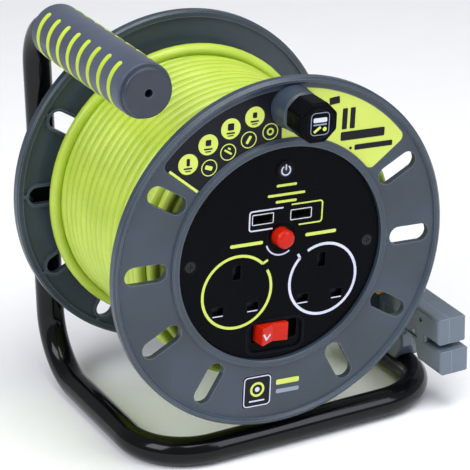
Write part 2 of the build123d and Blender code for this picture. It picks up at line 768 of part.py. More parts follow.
KNOB_TURN = math.radians(KNOB_ANGLE)
KNOB_X = KNOB_R * math.sin(KNOB_TURN)
KNOB_UP = KNOB_R * math.cos(KNOB_TURN)
BADGE_X = -11.0
BADGE_UP = -83.5
BADGE_W = 18.6
BADGE_H = 20.0
LABEL_CORNER = 4.0
BADGE_CORNER = 2.8
INNER_BOSS_R = 4.4
INNER_BOSS_LEN = 15.0
FACE_SCREW_R = 1.5
FACE_SCREW_PLACES = ((SCREW_X, 0), (-SCREW_X, 0))
KNOB_SCREW_R = 2.0

with BuildPart() as front_flange:
    with BuildSketch(profile_plane()):
        with BuildLine():
            Polyline(
                (LEDGE_IN, FACE_Y + FACE_T + CLEAR),
                (FACE_R + 0.2, FACE_Y + FACE_T + CLEAR),
                (FACE_R + 0.2, 0.6),
                (FACE_R + 1.0, 0.2),
                (BEZEL_R - 1.0, 0.2),
                (BEZEL_R, 1.0),
                (BEZEL_R, WEB_SETBACK),
                (RIM_IN, WEB_SETBACK),
                (RIM_IN, 1.2),
                (RIM_IN + 1.2, 0),
                (FLANGE_R - 1.5, 0),
                (FLANGE_R, 1.5),
                (FLANGE_R, RIM_DEPTH - 1),
                (FLANGE_R - 1, RIM_DEPTH),
                (RIM_IN, RIM_DEPTH),
                (RIM_IN, WEB_SETBACK + WEB_T),
                (BEZEL_R, WEB_SETBACK + WEB_T),
                (BEZEL_R - 2.5, HUB_BACK),
                (LEDGE_IN, HUB_BACK),
                close=True,
            )
        make_face()
    revolve(axis=REEL_AXIS)
    with BuildSketch(drum_plane(WEB_SETBACK + WEB_T)):
        slot_ribs()
    extrude(amount=-RIB_H)
    with BuildSketch(drum_plane(0)):
        flange_slots()
    extrude(amount=-RIM_DEPTH - 4, mode=Mode.SUBTRACT)
    with BuildSketch(drum_plane(WEB_SETBACK)) as label_pocket:
        label_sector(-LABEL_END, LABEL_END, LABEL_IN - 0.2, LABEL_OUT + 0.2)
        fillet(label_pocket.vertices(), LABEL_CORNER)
        with Locations((BADGE_X, BADGE_UP)):
            RectangleRounded(BADGE_W + 0.4, BADGE_H + 0.4, BADGE_CORNER + 0.2)
    extrude(amount=-LABEL_RECESS, mode=Mode.SUBTRACT)
    with BuildSketch(drum_plane(FACE_Y + FACE_T + CLEAR)):
        with Locations(*FACE_SCREW_PLACES):
            Circle(INNER_BOSS_R)
    extrude(amount=-INNER_BOSS_LEN)
    with BuildSketch(drum_plane(HUB_BACK)):
        Circle(BARREL_R + 4)
        Circle(BARREL_R - BARREL_WALL - CLEAR, mode=Mode.SUBTRACT)
    extrude(amount=-INNER_BOSS_LEN, mode=Mode.SUBTRACT)
    with BuildSketch(drum_plane(FACE_Y + FACE_T)):
        with Locations(*FACE_SCREW_PLACES):
            Circle(FACE_SCREW_R + CLEAR)
    extrude(amount=-14, mode=Mode.SUBTRACT)
    with BuildSketch(drum_plane(0, KNOB_X, KNOB_UP)):
        Circle(KNOB_SCREW_R + CLEAR)
    extrude(amount=-10, mode=Mode.SUBTRACT)
save(front_flange.part, "front_flange")


def label_panel(name, start, end, left_corners):
    with BuildPart() as panel:
        with BuildSketch(drum_plane(WEB_SETBACK + LABEL_RECESS - LABEL_T)) as sector:
            label_sector(start, end, LABEL_IN, LABEL_OUT)
            ends = sector.vertices().sort_by(Axis.X)
            fillet(ends[:2] if left_corners else ends[-2:], LABEL_CORNER)
            with Locations((KNOB_X, KNOB_UP)):
                Circle(BOSS_R + 0.4, mode=Mode.SUBTRACT)
        extrude(amount=-LABEL_T)
    save(panel.part, name)


label_panel("label_dark", -LABEL_END, LABEL_SPLIT, True)
label_panel("label_lime", LABEL_SPLIT + 0.15, LABEL_END, False)

with BuildPart() as badge:
    with BuildSketch(drum_plane(WEB_SETBACK + LABEL_RECESS, BADGE_X, BADGE_UP)):
        RectangleRounded(BADGE_W, BADGE_H, BADGE_CORNER)
    extrude(amount=0.8)
save(badge.part, "badge")

with BuildPart() as barrel:
    with BuildSketch(front_plane(HUB_BACK + FIT)):
        Circle(BARREL_R)
        Circle(BARREL_R - BARREL_WALL, mode=Mode.SUBTRACT)
    extrude(amount=-(REAR_WEB_FRONT - HUB_BACK - CLEAR))
    # Bosses inside the barrel take the drum screws
    with BuildSketch(front_plane(DRUM_BOSS_FRONT)):
        with PolarLocations(DRUM_BOSS_RING, 4, start_angle=45):
            Circle(DRUM_BOSS_R)
            Circle(DRUM_SCREW_R + CLEAR, mode=Mode.SUBTRACT)
    extrude(amount=-(REAR_WEB_FRONT - DRUM_BOSS_FRONT - FIT))
    # Hole for the cable gland, low in the barrel's right side
    with BuildSketch(Plane(origin=at(0, GLAND_Y, 0), x_dir=(0, 1, 0), z_dir=DRUM_RIGHT)):
        Circle(GLAND_R + CLEAR)
    extrude(amount=BARREL_R + 2, mode=Mode.SUBTRACT)
save(barrel.part, "barrel")

HUB_RIB_COUNT = 8
HUB_RIB_AT = 37.0
HUB_RIB = (38.0, 2.0)
HUB_RIB_H = 8.0
with BuildPart() as rear_flange:
    with BuildSketch(profile_plane()):
        with BuildLine():
            Polyline(
                (BUSH_OUT, HUB_FRONT + 0.4),
                (HUB_OUT, HUB_FRONT + 0.4),
                (HUB_OUT + 1, REAR_WEB_FRONT),
                (RIM_IN, REAR_WEB_FRONT),
                (RIM_IN, DRUM_DEPTH - RIM_DEPTH),
                (FLANGE_R - 1, DRUM_DEPTH - RIM_DEPTH),
                (FLANGE_R, DRUM_DEPTH - RIM_DEPTH + 1),
                (FLANGE_R, DRUM_DEPTH - 1),
                (FLANGE_R - 1, DRUM_DEPTH),
                (RIM_IN, DRUM_DEPTH),
                (RIM_IN, DRUM_DEPTH - WEB_SETBACK),
                (HUB_OUT + 4, DRUM_DEPTH - WEB_SETBACK),
                (HUB_OUT, DRUM_DEPTH + 1.5),
                (BUSH_OUT, DRUM_DEPTH + 1.5),
                close=True,
            )
        make_face()
    revolve(axis=REEL_AXIS)
    with BuildSketch(drum_plane(REAR_WEB_FRONT)):
        slot_ribs()
    extrude(amount=RIB_H)
    # Stiffening ribs from the hub to the barrel's seat, inside the barrel
    with BuildSketch(drum_plane(REAR_WEB_FRONT)):
        with PolarLocations(HUB_RIB_AT, HUB_RIB_COUNT, start_angle=180 / HUB_RIB_COUNT):
            Rectangle(*HUB_RIB)
    extrude(amount=HUB_RIB_H)
    with BuildSketch(drum_plane(DRUM_DEPTH + 1)):
        flange_slots()
    extrude(amount=14, mode=Mode.SUBTRACT)
    with BuildSketch(front_plane(DRUM_DEPTH + 1)):
        with PolarLocations(DRUM_BOSS_RING, 4, start_angle=45):
            Circle(DRUM_SCREW_R + 0.5)
    extrude(amount=8, mode=Mode.SUBTRACT)
save(rear_flange.part, "rear_flange")

with BuildPart() as drum_screws:
    with BuildSketch(front_plane(DRUM_DEPTH - WEB_SETBACK)):
        with PolarLocations(DRUM_BOSS_RING, 4, start_angle=45):
            Circle(DRUM_SCREW_R)
    extrude(amount=DRUM_SCREW_LEN)
    with BuildSketch(front_plane(DRUM_DEPTH - WEB_SETBACK)):
        with PolarLocations(DRUM_BOSS_RING, 4, start_angle=45):
            Circle(DRUM_SCREW_HEAD_R)
    extrude(amount=-2)
save(drum_screws.part, "drum_screws")

with BuildPart() as hub_bush:
    with BuildSketch(front_plane(HUB_FRONT)):
        Circle(BUSH_OUT)
        Circle(BUSH_IN, mode=Mode.SUBTRACT)
    extrude(amount=-(DRUM_DEPTH + 1.8 - HUB_FRONT))
save(hub_bush.part, "hub_bush")

# The even winding, and the rear turns that ride up on it
PROUD_FRONT = COIL_BACK - PROUD_WIDTH
with BuildPart() as cable_coil:
    for outer, front, back in ((COIL_R, COIL_FRONT, PROUD_FRONT - CLEAR), (PROUD_R, PROUD_FRONT, COIL_BACK)):
        with BuildSketch(profile_plane()):
            with BuildLine():
                Polyline(
                    (BARREL_R + FIT, front),
                    (outer, front),
                    (outer, back),
                    (BARREL_R + FIT, back),
                    close=True,
                )
            make_face()
        revolve(axis=REEL_AXIS)
save(cable_coil.part, "cable_coil")

# Gland in the barrel wall, and the lead's short run to its clamp behind the sockets
with BuildPart() as cable_gland:
    with BuildSketch(Plane(origin=at(0, GLAND_Y, 0), x_dir=(0, 1, 0), z_dir=DRUM_UP)):
        with BuildLine():
            Polyline(
                (LEAD_R + FIT, -(BARREL_R - 0.2)),
                (GLAND_R, -(BARREL_R - 0.2)),
                (GLAND_R, -(BARREL_R - BARREL_WALL - 0.7)),
                (GLAND_HEAD_R, -(BARREL_R - BARREL_WALL - 0.7)),
                (GLAND_HEAD_R, -(BARREL_R - BARREL_WALL - 2.7)),
                (LEAD_R + FIT, -(BARREL_R - BARREL_WALL - 2.7)),
                close=True,
            )
        make_face()
    revolve(axis=Axis(at(0, GLAND_Y, 0), DRUM_RIGHT))
save(cable_gland.part, "cable_gland")

with BuildPart() as lead_inside:
    with BuildLine() as lead_line:
        FilletPolyline(
            drum_point(BARREL_R - 0.3, 0, GLAND_Y),
            drum_point(41, 0, GLAND_Y),
            drum_point(26, 12, GLAND_Y),
            drum_point(20, 30, GLAND_Y - 8),
            drum_point(20, 30, 34),
            radius=[20, 16, 12],
        )
    lead_path = lead_line.wires()[0]
    with BuildSketch(Plane(origin=lead_path @ 0, z_dir=lead_path % 0)):
        Circle(LEAD_R)
    sweep(path=lead_path)
save(lead_inside.part, "lead_inside")

MODULE_R = 57.0
MODULE_FRONT = FACE_Y + FACE_T + CLEAR
MODULE_BACK = 40.0
MODULE_WALL = 1.8
FACE_EDGE = 0.6
RESET_DISH_R = 8.8
SCREW_HEAD_R = 3.2
with BuildPart() as face_plate:
    with BuildSketch(drum_plane(FACE_Y)):
        Circle(FACE_R)
    extrude(amount=-FACE_T)
    chamfer(face_plate.faces().sort_by(Axis.Y)[0].edges(), FACE_EDGE)
    with BuildSketch(drum_plane(FACE_Y)):
        with Locations((0, LENS_UP)):
            Circle(LENS_BOSS_R)
    extrude(amount=1.0)
    with BuildSketch(drum_plane(FACE_Y - 2)):
        for socket_x in (-SOCKET_X, SOCKET_X):
            with Locations(
                (socket_x - PIN_PITCH, SOCKET_UP - PIN_PITCH),
                (socket_x + PIN_PITCH, SOCKET_UP - PIN_PITCH),
            ):
                Rectangle(*LINE_SLOT)
            with Locations((socket_x, SOCKET_UP + PIN_PITCH)):
                Rectangle(*EARTH_SLOT)
        with Locations((-PORT_X, PORT_UP), (PORT_X, PORT_UP)):
            Rectangle(SHELL[0] + 0.4, SHELL[1] + 0.4)
        with Locations((0, RESET_UP)):
            Circle(RESET_R + 0.5)
        with Locations((0, LENS_UP)):
            Circle(LENS_R + FIT)
        with Locations(*FACE_SCREW_PLACES):
            Circle(FACE_SCREW_R + 0.3)
        with Locations((SWITCH_X, SWITCH_UP)):
            RectangleRounded(WELL[0] + 2 * CLEAR, WELL[1] + 2 * CLEAR, WELL_CORNER)
    extrude(amount=-FACE_T - 3, mode=Mode.SUBTRACT)
    with BuildSketch(drum_plane(FACE_Y)):
        with Locations(*FACE_SCREW_PLACES):
            Circle(SCREW_HEAD_R + 0.4)
        with Locations((0, RESET_UP)):
            Circle(RESET_DISH_R)
    extrude(amount=-1.0, mode=Mode.SUBTRACT)
save(face_plate.part, "face_plate")

FACE_SCREW_LEN = 13.0
SCREW_CROSS = (3.6, 0.8)
with BuildPart() as face_screws:
    with BuildSketch(drum_plane(FACE_Y + 1.0)):
        with Locations(*FACE_SCREW_PLACES):
            Circle(FACE_SCREW_R)
    extrude(amount=-FACE_SCREW_LEN)
    with BuildSketch(drum_plane(FACE_Y + 1.0)):
        with Locations(*FACE_SCREW_PLACES):
            Circle(SCREW_HEAD_R)
    extrude(amount=0.8)
    with BuildSketch(drum_plane(FACE_Y + 0.2)):
        with Locations(*FACE_SCREW_PLACES):
            Rectangle(*SCREW_CROSS)
            Rectangle(*reversed(SCREW_CROSS))
    extrude(amount=-0.6, mode=Mode.SUBTRACT)
save(face_screws.part, "face_screws")

# The shutters' plate and the bar that covers the line apertures
LINE_UP = SOCKET_UP - PIN_PITCH
SHUTTER_FRONT = 7.0
SHUTTER_T = 1.8
BAR_H = 6.4
BAR_W = 2 * PIN_PITCH + 8.4
SHUTTER_RELIEF = 9.0

SWITCH_WINDOW = (33.0, 36.0)
CORD_ENTRY = (20.0, 30.0)
with BuildPart() as module_back:
    with BuildSketch(drum_plane(MODULE_FRONT)):
        Circle(MODULE_R)
        with Locations(*FACE_SCREW_PLACES):
            Circle(INNER_BOSS_R + 0.5 + MODULE_WALL, mode=Mode.SUBTRACT)
    extrude(amount=-(MODULE_BACK - MODULE_FRONT))
    with BuildSketch(drum_plane(MODULE_FRONT)):
        Circle(MODULE_R - MODULE_WALL)
        with Locations(*FACE_SCREW_PLACES):
            Circle(INNER_BOSS_R + 0.5 + 2 * MODULE_WALL, mode=Mode.SUBTRACT)
    extrude(amount=-(MODULE_BACK - MODULE_FRONT - 2), mode=Mode.SUBTRACT)
    # Window in the wall for the switch body
    with BuildSketch(drum_plane(MODULE_FRONT, SWITCH_X, -MODULE_R)):
        Rectangle(*SWITCH_WINDOW)
    extrude(amount=-(SWITCH_BACK - MODULE_FRONT + 1), mode=Mode.SUBTRACT)
    # Reliefs in the wall for the outer corners of the shutter bars at the end of their travel
    with BuildSketch(drum_plane(MODULE_FRONT)):
        for side in (-1, 1):
            with Locations((side * (SOCKET_X + BAR_W / 2), LINE_UP - BAR_H / 2 - SHUTTER_TRAVEL)):
                Rectangle(SHUTTER_RELIEF, SHUTTER_RELIEF)
    extrude(amount=-(SHUTTER_FRONT + SHUTTER_T + 0.5 - MODULE_FRONT), mode=Mode.SUBTRACT)
    # Cord entry through the floor
    with BuildSketch(drum_plane(MODULE_BACK - 3, *CORD_ENTRY)):
        Circle(LEAD_R + 0.3)
    extrude(amount=-4, mode=Mode.SUBTRACT)
save(module_back.part, "module_back")

# Brass bars with one pair of gripping leaves behind each aperture
LEAF_T = 0.8
CLIP_FRONT = 10.5


def busbar(name, leaf_places, leaf_across, leaf_along, back, gap, link_up):
    """leaf_across is the leaves' width, leaf_along the pads' height and gap the pin's room."""
    xs = [place[0] for place in leaf_places]
    up = leaf_places[0][1]
    with BuildPart() as bar:
        with BuildSketch(drum_plane(back)):
            with Locations(((min(xs) + max(xs)) / 2, up + link_up)):
                Rectangle(max(xs) - min(xs) + leaf_across, 2.5)
            with Locations(*[(leaf_x, leaf_up + link_up / 2) for leaf_x, leaf_up in leaf_places]):
                Rectangle(leaf_across, leaf_along)
        extrude(amount=-1.0)
        with BuildSketch(drum_plane(back)):
            for leaf_x, leaf_up in leaf_places:
                for side in (-1, 1):
                    with Locations((leaf_x, leaf_up + side * (gap + LEAF_T) / 2)):
                        Rectangle(leaf_across, LEAF_T)
        extrude(amount=back - CLIP_FRONT)
    save(bar.part, name)


live = [(-SOCKET_X + PIN_PITCH, LINE_UP), (SOCKET_X + PIN_PITCH, LINE_UP)]
neutral = [(-SOCKET_X - PIN_PITCH, LINE_UP), (SOCKET_X - PIN_PITCH, LINE_UP)]
earth = [(-SOCKET_X, SOCKET_UP + PIN_PITCH), (SOCKET_X, SOCKET_UP + PIN_PITCH)]
busbar("live_busbar", live, 6.0, 9.0, 25.0, 4.0, -4.6)
busbar("neutral_busbar", neutral, 6.0, 9.0, 25.0, 4.0, 4.6)
busbar("earth_busbar", earth, 4.0, 10.2, 25.0, 8.0, 0.0)

# Safety shutters: a bar across both line apertures and a ramp behind the earth aperture
SPRING_SEAT_UP = -44.3
RAMP_W = 7.0
RAMP_CHAMFER = 1.2


def shutter(name, socket_x):
    with BuildPart() as plate:
        with BuildSketch(drum_plane(SHUTTER_FRONT)):
            with Locations((socket_x, LINE_UP)):
                Rectangle(BAR_W, BAR_H)
            with Locations((socket_x, (LINE_UP + SOCKET_UP + PIN_PITCH) / 2)):
                Rectangle(RAMP_W, 2 * PIN_PITCH)
            with Locations((socket_x, SOCKET_UP + PIN_PITCH)):
                Rectangle(RAMP_W, RAMP_W)
        extrude(amount=-SHUTTER_T)
        edges = plate.faces().sort_by(Axis.Y)[0].edges()
        ramp_edges = edges.filter_by(lambda e: abs(e.length - RAMP_W) < 0.01)
        chamfer(ramp_edges.sort_by(Axis.Z)[-1], RAMP_CHAMFER)
    save(plate.part, name)


def spring(name, origin, direction, length, coil_r, wire_r, turns):
    with BuildPart() as coil:
        with BuildLine() as wire:
            Helix(
                pitch=(length - 2 * wire_r) / turns,
                height=length - 2 * wire_r,
                radius=coil_r,
                center=tuple(o + d * wire_r for o, d in zip(origin, direction)),
                direction=direction,
            )
        path = wire.wires()[0]
        with BuildSketch(Plane(origin=path @ 0, z_dir=path % 0)):
            Circle(wire_r)
        sweep(path=path)
    save(coil.part, name)


SHUTTER_SPRING_Y = SHUTTER_FRONT + SHUTTER_T / 2
SPRING_LEN = (LINE_UP - BAR_H / 2) - SPRING_SEAT_UP - CLEAR
SPRING_SEAT = (5.0, 1.5)
SPRING_SEAT_LEN = 4.5
with BuildPart() as spring_seats:
    with BuildSketch(drum_plane(FACE_Y + FACE_T + FIT)):
        with Locations((-SOCKET_X, SPRING_SEAT_UP - 0.8), (SOCKET_X, SPRING_SEAT_UP - 0.8)):
            Rectangle(*SPRING_SEAT)
    extrude(amount=-SPRING_SEAT_LEN)
save(spring_seats.part, "spring_seats")

for side_name, socket_x in (("left", -SOCKET_X), ("right", SOCKET_X)):
    shutter(f"shutter_{side_name}", socket_x)
    foot = drum_point(socket_x, SPRING_SEAT_UP, SHUTTER_SPRING_Y)
    spring(f"shutter_spring_{side_name}", foot, DRUM_UP, SPRING_LEN, coil_r=1.2, wire_r=0.22, turns=6)

# Charging ports on their board
SHELL_FRONT = FACE_Y + 0.3
SHELL_LEN = 14.5
SHELL_INSIDE = (SHELL[0] - 2 * SHELL_WALL, SHELL[1] - 2 * SHELL_WALL)
TONGUE_SETBACK = 4.3
TONGUE_UP = 1.2
PORT_TONGUE = (10.6, 1.8)
PORT_FLOOR = (12.2, 5.0)
PORT_FLOOR_T = 1.6
with BuildPart() as charging_port_shells:
    with BuildSketch(drum_plane(SHELL_FRONT)):
        with Locations((-PORT_X, PORT_UP), (PORT_X, PORT_UP)):
            RectangleRounded(*SHELL, SHELL_WALL + 0.4)
            RectangleRounded(*SHELL_INSIDE, 0.5, mode=Mode.SUBTRACT)
    extrude(amount=-SHELL_LEN)
save(charging_port_shells.part, "charging_port_shells")

TONGUE_FRONT = SHELL_FRONT + TONGUE_SETBACK
with BuildPart() as charging_port_tongues:
    with BuildSketch(drum_plane(TONGUE_FRONT)):
        with Locations((-PORT_X, PORT_UP + TONGUE_UP), (PORT_X, PORT_UP + TONGUE_UP)):
            Rectangle(*PORT_TONGUE)
    extrude(amount=-(SHELL_LEN - TONGUE_SETBACK))
    with BuildSketch(drum_plane(SHELL_FRONT + SHELL_LEN - PORT_FLOOR_T)):
        with Locations((-PORT_X, PORT_UP), (PORT_X, PORT_UP)):
            Rectangle(*PORT_FLOOR)
    extrude(amount=-PORT_FLOOR_T)
save(charging_port_tongues.part, "charging_port_tongues")

BOARD = (44.0, 22.0)
BOARD_T = 1.6
BOARD_FRONT = SHELL_FRONT + SHELL_LEN + CLEAR
BOARD_UP = PORT_UP + 6.0
CONVERTER = 9.0
CAPACITOR_R = 4.0
COMPONENT_H = 8.0
with BuildPart() as charger_board:
    with BuildSketch(drum_plane(BOARD_FRONT, 0, BOARD_UP)):
        Rectangle(*BOARD)
    extrude(amount=-BOARD_T)
    with BuildSketch(drum_plane(BOARD_FRONT + BOARD_T, 0, BOARD_UP)):
        with Locations((-12, 0), (12, 2)):
            Rectangle(CONVERTER, CONVERTER)
        with Locations((0, 4)):
            Circle(CAPACITOR_R)
    extrude(amount=-COMPONENT_H)
save(charger_board.part, "charger_board")

LENS_PROUD = 1.4
LENS_LEN = 9.0
LENS_FILLET = 0.8
with BuildPart() as power_lens:
    with BuildSketch(drum_plane(FACE_Y - LENS_PROUD, 0, LENS_UP)):
        Circle(LENS_R)
    extrude(amount=-LENS_LEN)
    fillet(power_lens.faces().sort_by(Axis.Y)[0].edges(), LENS_FILLET)
save(power_lens.part, "power_lens")

# Reset button over its sprung cut-out
STOP_R = 7.2
STOP_FRONT = FACE_Y + FACE_T + 0.6
STOP_T = 1.4
CUTOUT_FRONT = 14.0
STEM_END = 11.4
STEM_R = 3.0
with BuildPart() as reset_button:
    with BuildSketch(turned_profile(0, RESET_UP)):
        with BuildLine():
            Polyline(
                (0, -4.4),
                (3.4, -4.1),
                (4.9, -3.4),
                (RESET_R, -2.2),
                (RESET_R, STOP_FRONT),
                (STOP_R, STOP_FRONT),
                (STOP_R, STOP_FRONT + STOP_T),
                (STEM_R, STOP_FRONT + STOP_T),
                (STEM_R, STEM_END),
                (0, STEM_END),
                close=True,
            )
        make_face()
    revolve(axis=drum_axis(0, RESET_UP))
save(reset_button.part, "reset_button")

spring(
    "reset_spring",
    drum_point(0, RESET_UP, STOP_FRONT + STOP_T + FIT),
    (0, 1, 0),
    CUTOUT_FRONT - STOP_FRONT - STOP_T - CLEAR,
    coil_r=4.6,
    wire_r=0.3,
    turns=4,
)

CUTOUT = (14.0, 12.0)
CUTOUT_DEEP = 18.0
with BuildPart() as cutout_body:
    with BuildSketch(drum_plane(CUTOUT_FRONT, 0, RESET_UP)):
        Rectangle(*CUTOUT)
    extrude(amount=-CUTOUT_DEEP)
    with BuildSketch(drum_plane(CUTOUT_FRONT, 0, RESET_UP)):
        Circle(STEM_R + 0.3)
    extrude(amount=-3, mode=Mode.SUBTRACT)
save(cutout_body.part, "cutout_body")

# Switch: a well in the face, and a rocker on a cross pin
WELL_DEEP = 7.5
ROCKER_PIN_Y = 7.6
ROCKER_PIN_R = 1.2
ROCKER_SWING = 20.0
ROCKER_CLEAR = 0.5
ROCKER_WELL_DEEP = 16.0
SIDE_POCKET = (6.0, 12.5)
SIDE_POCKET_X = 10.9
with BuildPart() as rocker_housing:
    with BuildSketch(drum_plane(FACE_Y + CLEAR, SWITCH_X, SWITCH_UP)):
        RectangleRounded(*WELL, WELL_CORNER)
    extrude(amount=-(FACE_T - CLEAR))
    with BuildSketch(drum_plane(FACE_Y + 1, SWITCH_X, ROCKER_UP - 0.2)):
        RectangleRounded(*SWITCH_BODY, 2)
    extrude(amount=-(SWITCH_BACK - FACE_Y - 1))
    with BuildSketch(drum_plane(FACE_Y, SWITCH_X, SWITCH_UP)):
        RectangleRounded(WELL[0] - 2 * WELL_LIP, WELL[1] - 2 * WELL_LIP, WELL_CORNER - 1)
    extrude(amount=-1.5, mode=Mode.SUBTRACT)
    with BuildSketch(drum_plane(FACE_Y, ROCKER_X, ROCKER_UP)):
        Rectangle(ROCKER_W + 2 * ROCKER_CLEAR, ROCKER_H + 2 * ROCKER_CLEAR - 2.2)
    extrude(amount=-ROCKER_WELL_DEEP, mode=Mode.SUBTRACT)
    with BuildSketch(drum_plane(FACE_Y, SIDE_POCKET_X, ROCKER_UP - 0.2)):
        RectangleRounded(*SIDE_POCKET, 2.5)
    extrude(amount=-WELL_DEEP, mode=Mode.SUBTRACT)
    with BuildSketch(
        Plane(origin=drum_point(ROCKER_X, ROCKER_UP + 8, ROCKER_PIN_Y), x_dir=(0, 1, 0), z_dir=DRUM_UP)
    ):
        Circle(ROCKER_PIN_R + FIT)
    extrude(amount=-16, mode=Mode.SUBTRACT)
save(rocker_housing.part, "rocker_housing")

# The rocker rests half its swing over, with its left end out
ROCKER_BODY_H = ROCKER_H - 3.0
ROCKER_TIP = 9.4
HALF_SWING = math.radians(ROCKER_SWING / 2)
ROCKER_ACROSS = tuple(math.cos(HALF_SWING) * c for c in DRUM_RIGHT[:1]) + (
    math.sin(HALF_SWING),
    math.cos(HALF_SWING) * DRUM_RIGHT[2],
)
with BuildPart() as rocker:
    with BuildSketch(
        Plane(
            origin=drum_point(ROCKER_X, ROCKER_UP - ROCKER_BODY_H / 2, ROCKER_PIN_Y),
            x_dir=ROCKER_ACROSS,
            z_dir=DRUM_UP,
        )
    ) as outline:
        with BuildLine():
            Polyline(
                (-ROCKER_TIP, -9.4),
                (0, -6.4),
                (ROCKER_TIP, -9.4),
                (ROCKER_TIP - 0.4, 0.8),
                (4, 4.4),
                (-4, 4.4),
                (0.4 - ROCKER_TIP, 0.8),
                close=True,
            )
        make_face()
        fillet(outline.vertices(), 0.8)
    extrude(amount=ROCKER_BODY_H)
    with BuildSketch(
        Plane(
            origin=drum_point(ROCKER_X, ROCKER_UP - ROCKER_H / 2 - 0.4, ROCKER_PIN_Y),
            x_dir=(0, 1, 0),
            z_dir=DRUM_UP,
        )
    ):
        Circle(ROCKER_PIN_R)
    extrude(amount=ROCKER_H + 0.8)
save(rocker.part, "rocker")

# ============================ crank knob ============================

BOSS_FRONT = -BOSS_LEN
SPINDLE_END = 5.4 - REACH_FRONT
SPIGOT_R = 8.0
with BuildPart() as knob_spindle:
    with BuildSketch(turned_profile(KNOB_X, KNOB_UP)):
        with BuildLine():
            Polyline(
                (0, WEB_SETBACK + LABEL_RECESS),
                (SPIGOT_R, WEB_SETBACK + LABEL_RECESS),
                (SPIGOT_R, WEB_SETBACK - FIT),
                (BOSS_R, WEB_SETBACK - FIT),
                (BOSS_R, 1.0),
                (BOSS_R - 0.8, BOSS_FRONT + 1),
                (BOSS_R - 1.8, BOSS_FRONT),
                (SPINDLE_R, BOSS_FRONT),
                (SPINDLE_R, SPINDLE_END),
                (0, SPINDLE_END),
                close=True,
            )
        make_face()
    revolve(axis=drum_axis(KNOB_X, KNOB_UP))
    with BuildSketch(drum_plane(WEB_SETBACK + 1, KNOB_X, KNOB_UP)):
        Circle(KNOB_SCREW_R + CLEAR)
    extrude(amount=12, mode=Mode.SUBTRACT)
    with BuildSketch(drum_plane(SPINDLE_END - 1, KNOB_X, KNOB_UP)):
        Circle(KNOB_SCREW_R + CLEAR)
    extrude(amount=-12, mode=Mode.SUBTRACT)
save(knob_spindle.part, "knob_spindle")

BOSS_SCREW_LEN = 12.0
BOSS_SCREW_HEAD = 2.2
KEEPER_SCREW_LEN = 8.0
KEEPER_R = 6.4
KEEPER_T = 1.8
with BuildPart() as knob_screws:
    with BuildSketch(drum_plane(WEB_SETBACK + WEB_T, KNOB_X, KNOB_UP)):
        Circle(KNOB_SCREW_R)
    extrude(amount=BOSS_SCREW_LEN)
    with BuildSketch(drum_plane(WEB_SETBACK + WEB_T, KNOB_X, KNOB_UP)):
        Circle(2 * KNOB_SCREW_R)
    extrude(amount=-BOSS_SCREW_HEAD)
    with BuildSketch(drum_plane(SPINDLE_END, KNOB_X, KNOB_UP)):
        Circle(KNOB_SCREW_R)
    extrude(amount=-KEEPER_SCREW_LEN)
    with BuildSketch(drum_plane(SPINDLE_END, KNOB_X, KNOB_UP)):
        Circle(KEEPER_R)
    extrude(amount=KEEPER_T)
save(knob_screws.part, "knob_screws")

KNOB_BACK = BOSS_FRONT - 0.4
KNOB_FRONT = 1.0 - REACH_FRONT
KNOB_BODY_R = 11.6
KNOB_CAP_R = 8.9
KNOB_CORNER = 3.0
KNOB_FILLET = 1.8
CAP_SEAT = 0.8
with BuildPart() as crank_knob:
    with BuildSketch(drum_plane(KNOB_BACK, KNOB_X, KNOB_UP)) as outline:
        RegularPolygon(KNOB_BODY_R + 0.8, 8, rotation=22.5)
        fillet(outline.vertices(), KNOB_CORNER)
    extrude(amount=KNOB_BACK - KNOB_FRONT)
    fillet(crank_knob.faces().sort_by(Axis.Y)[0].edges(), KNOB_FILLET)
    chamfer(crank_knob.faces().sort_by(Axis.Y)[-1].edges(), 1.0)
    with BuildSketch(drum_plane(KNOB_BACK, KNOB_X, KNOB_UP)):
        Circle(SPINDLE_R + SPINDLE_RUN)
    extrude(amount=20, mode=Mode.SUBTRACT)
    with BuildSketch(drum_plane(SPINDLE_END + 0.4, KNOB_X, KNOB_UP)):
        Circle(KEEPER_R + 0.6)
    extrude(amount=8, mode=Mode.SUBTRACT)
    with BuildSketch(drum_plane(KNOB_FRONT + CAP_SEAT, KNOB_X, KNOB_UP)):
        Circle(KNOB_CAP_R + CLEAR)
    extrude(amount=4, mode=Mode.SUBTRACT)
save(crank_knob.part, "crank_knob")

CAP_DISH = 0.3
CAP_DISH_R = KNOB_CAP_R - 1.0
CAP_SPIGOT_R = 6.9
CAP_SPIGOT_WALL = 1.4
with BuildPart() as knob_cap:
    with BuildSketch(drum_plane(KNOB_FRONT + CAP_SEAT - FIT, KNOB_X, KNOB_UP)):
        Circle(KNOB_CAP_R)
    extrude(amount=KNOB_FRONT + CAP_SEAT - FIT + REACH_FRONT)
    fillet(knob_cap.faces().sort_by(Axis.Y)[0].edges(), 0.8)
    # The dish that takes the badge
    with BuildSketch(drum_plane(-REACH_FRONT, KNOB_X, KNOB_UP)):
        Circle(CAP_DISH_R)
    extrude(amount=-CAP_DISH, mode=Mode.SUBTRACT)
    with BuildSketch(drum_plane(KNOB_FRONT + CAP_SEAT - FIT, KNOB_X, KNOB_UP)):
        Circle(CAP_SPIGOT_R)
        Circle(CAP_SPIGOT_R - CAP_SPIGOT_WALL, mode=Mode.SUBTRACT)
    extrude(amount=-0.8)
save(knob_cap.part, "knob_cap")

# ============================ free end of the cable ============================
# From the winding's last turn, between the flanges, over and down into the plug

TAIL_ROUTE = [
    at(86.5, 126.0, 31.5),
    at(92.0, 124.2, 17.5),
    at(97.5, 118.5, 7.5),
    at(102.5, 110.5, 0.0),
    at(106.5, 102.2, -6.5),
    at(109.4, 94.8, -13.5),
    at(111.3, 89.6, -21.5),
    at(PLUG_X, RELIEF_Y, -29.5),
    at(PLUG_X, RELIEF_Y, RELIEF_TOP + FIT),
]
CORNER_SHARE = 0.45


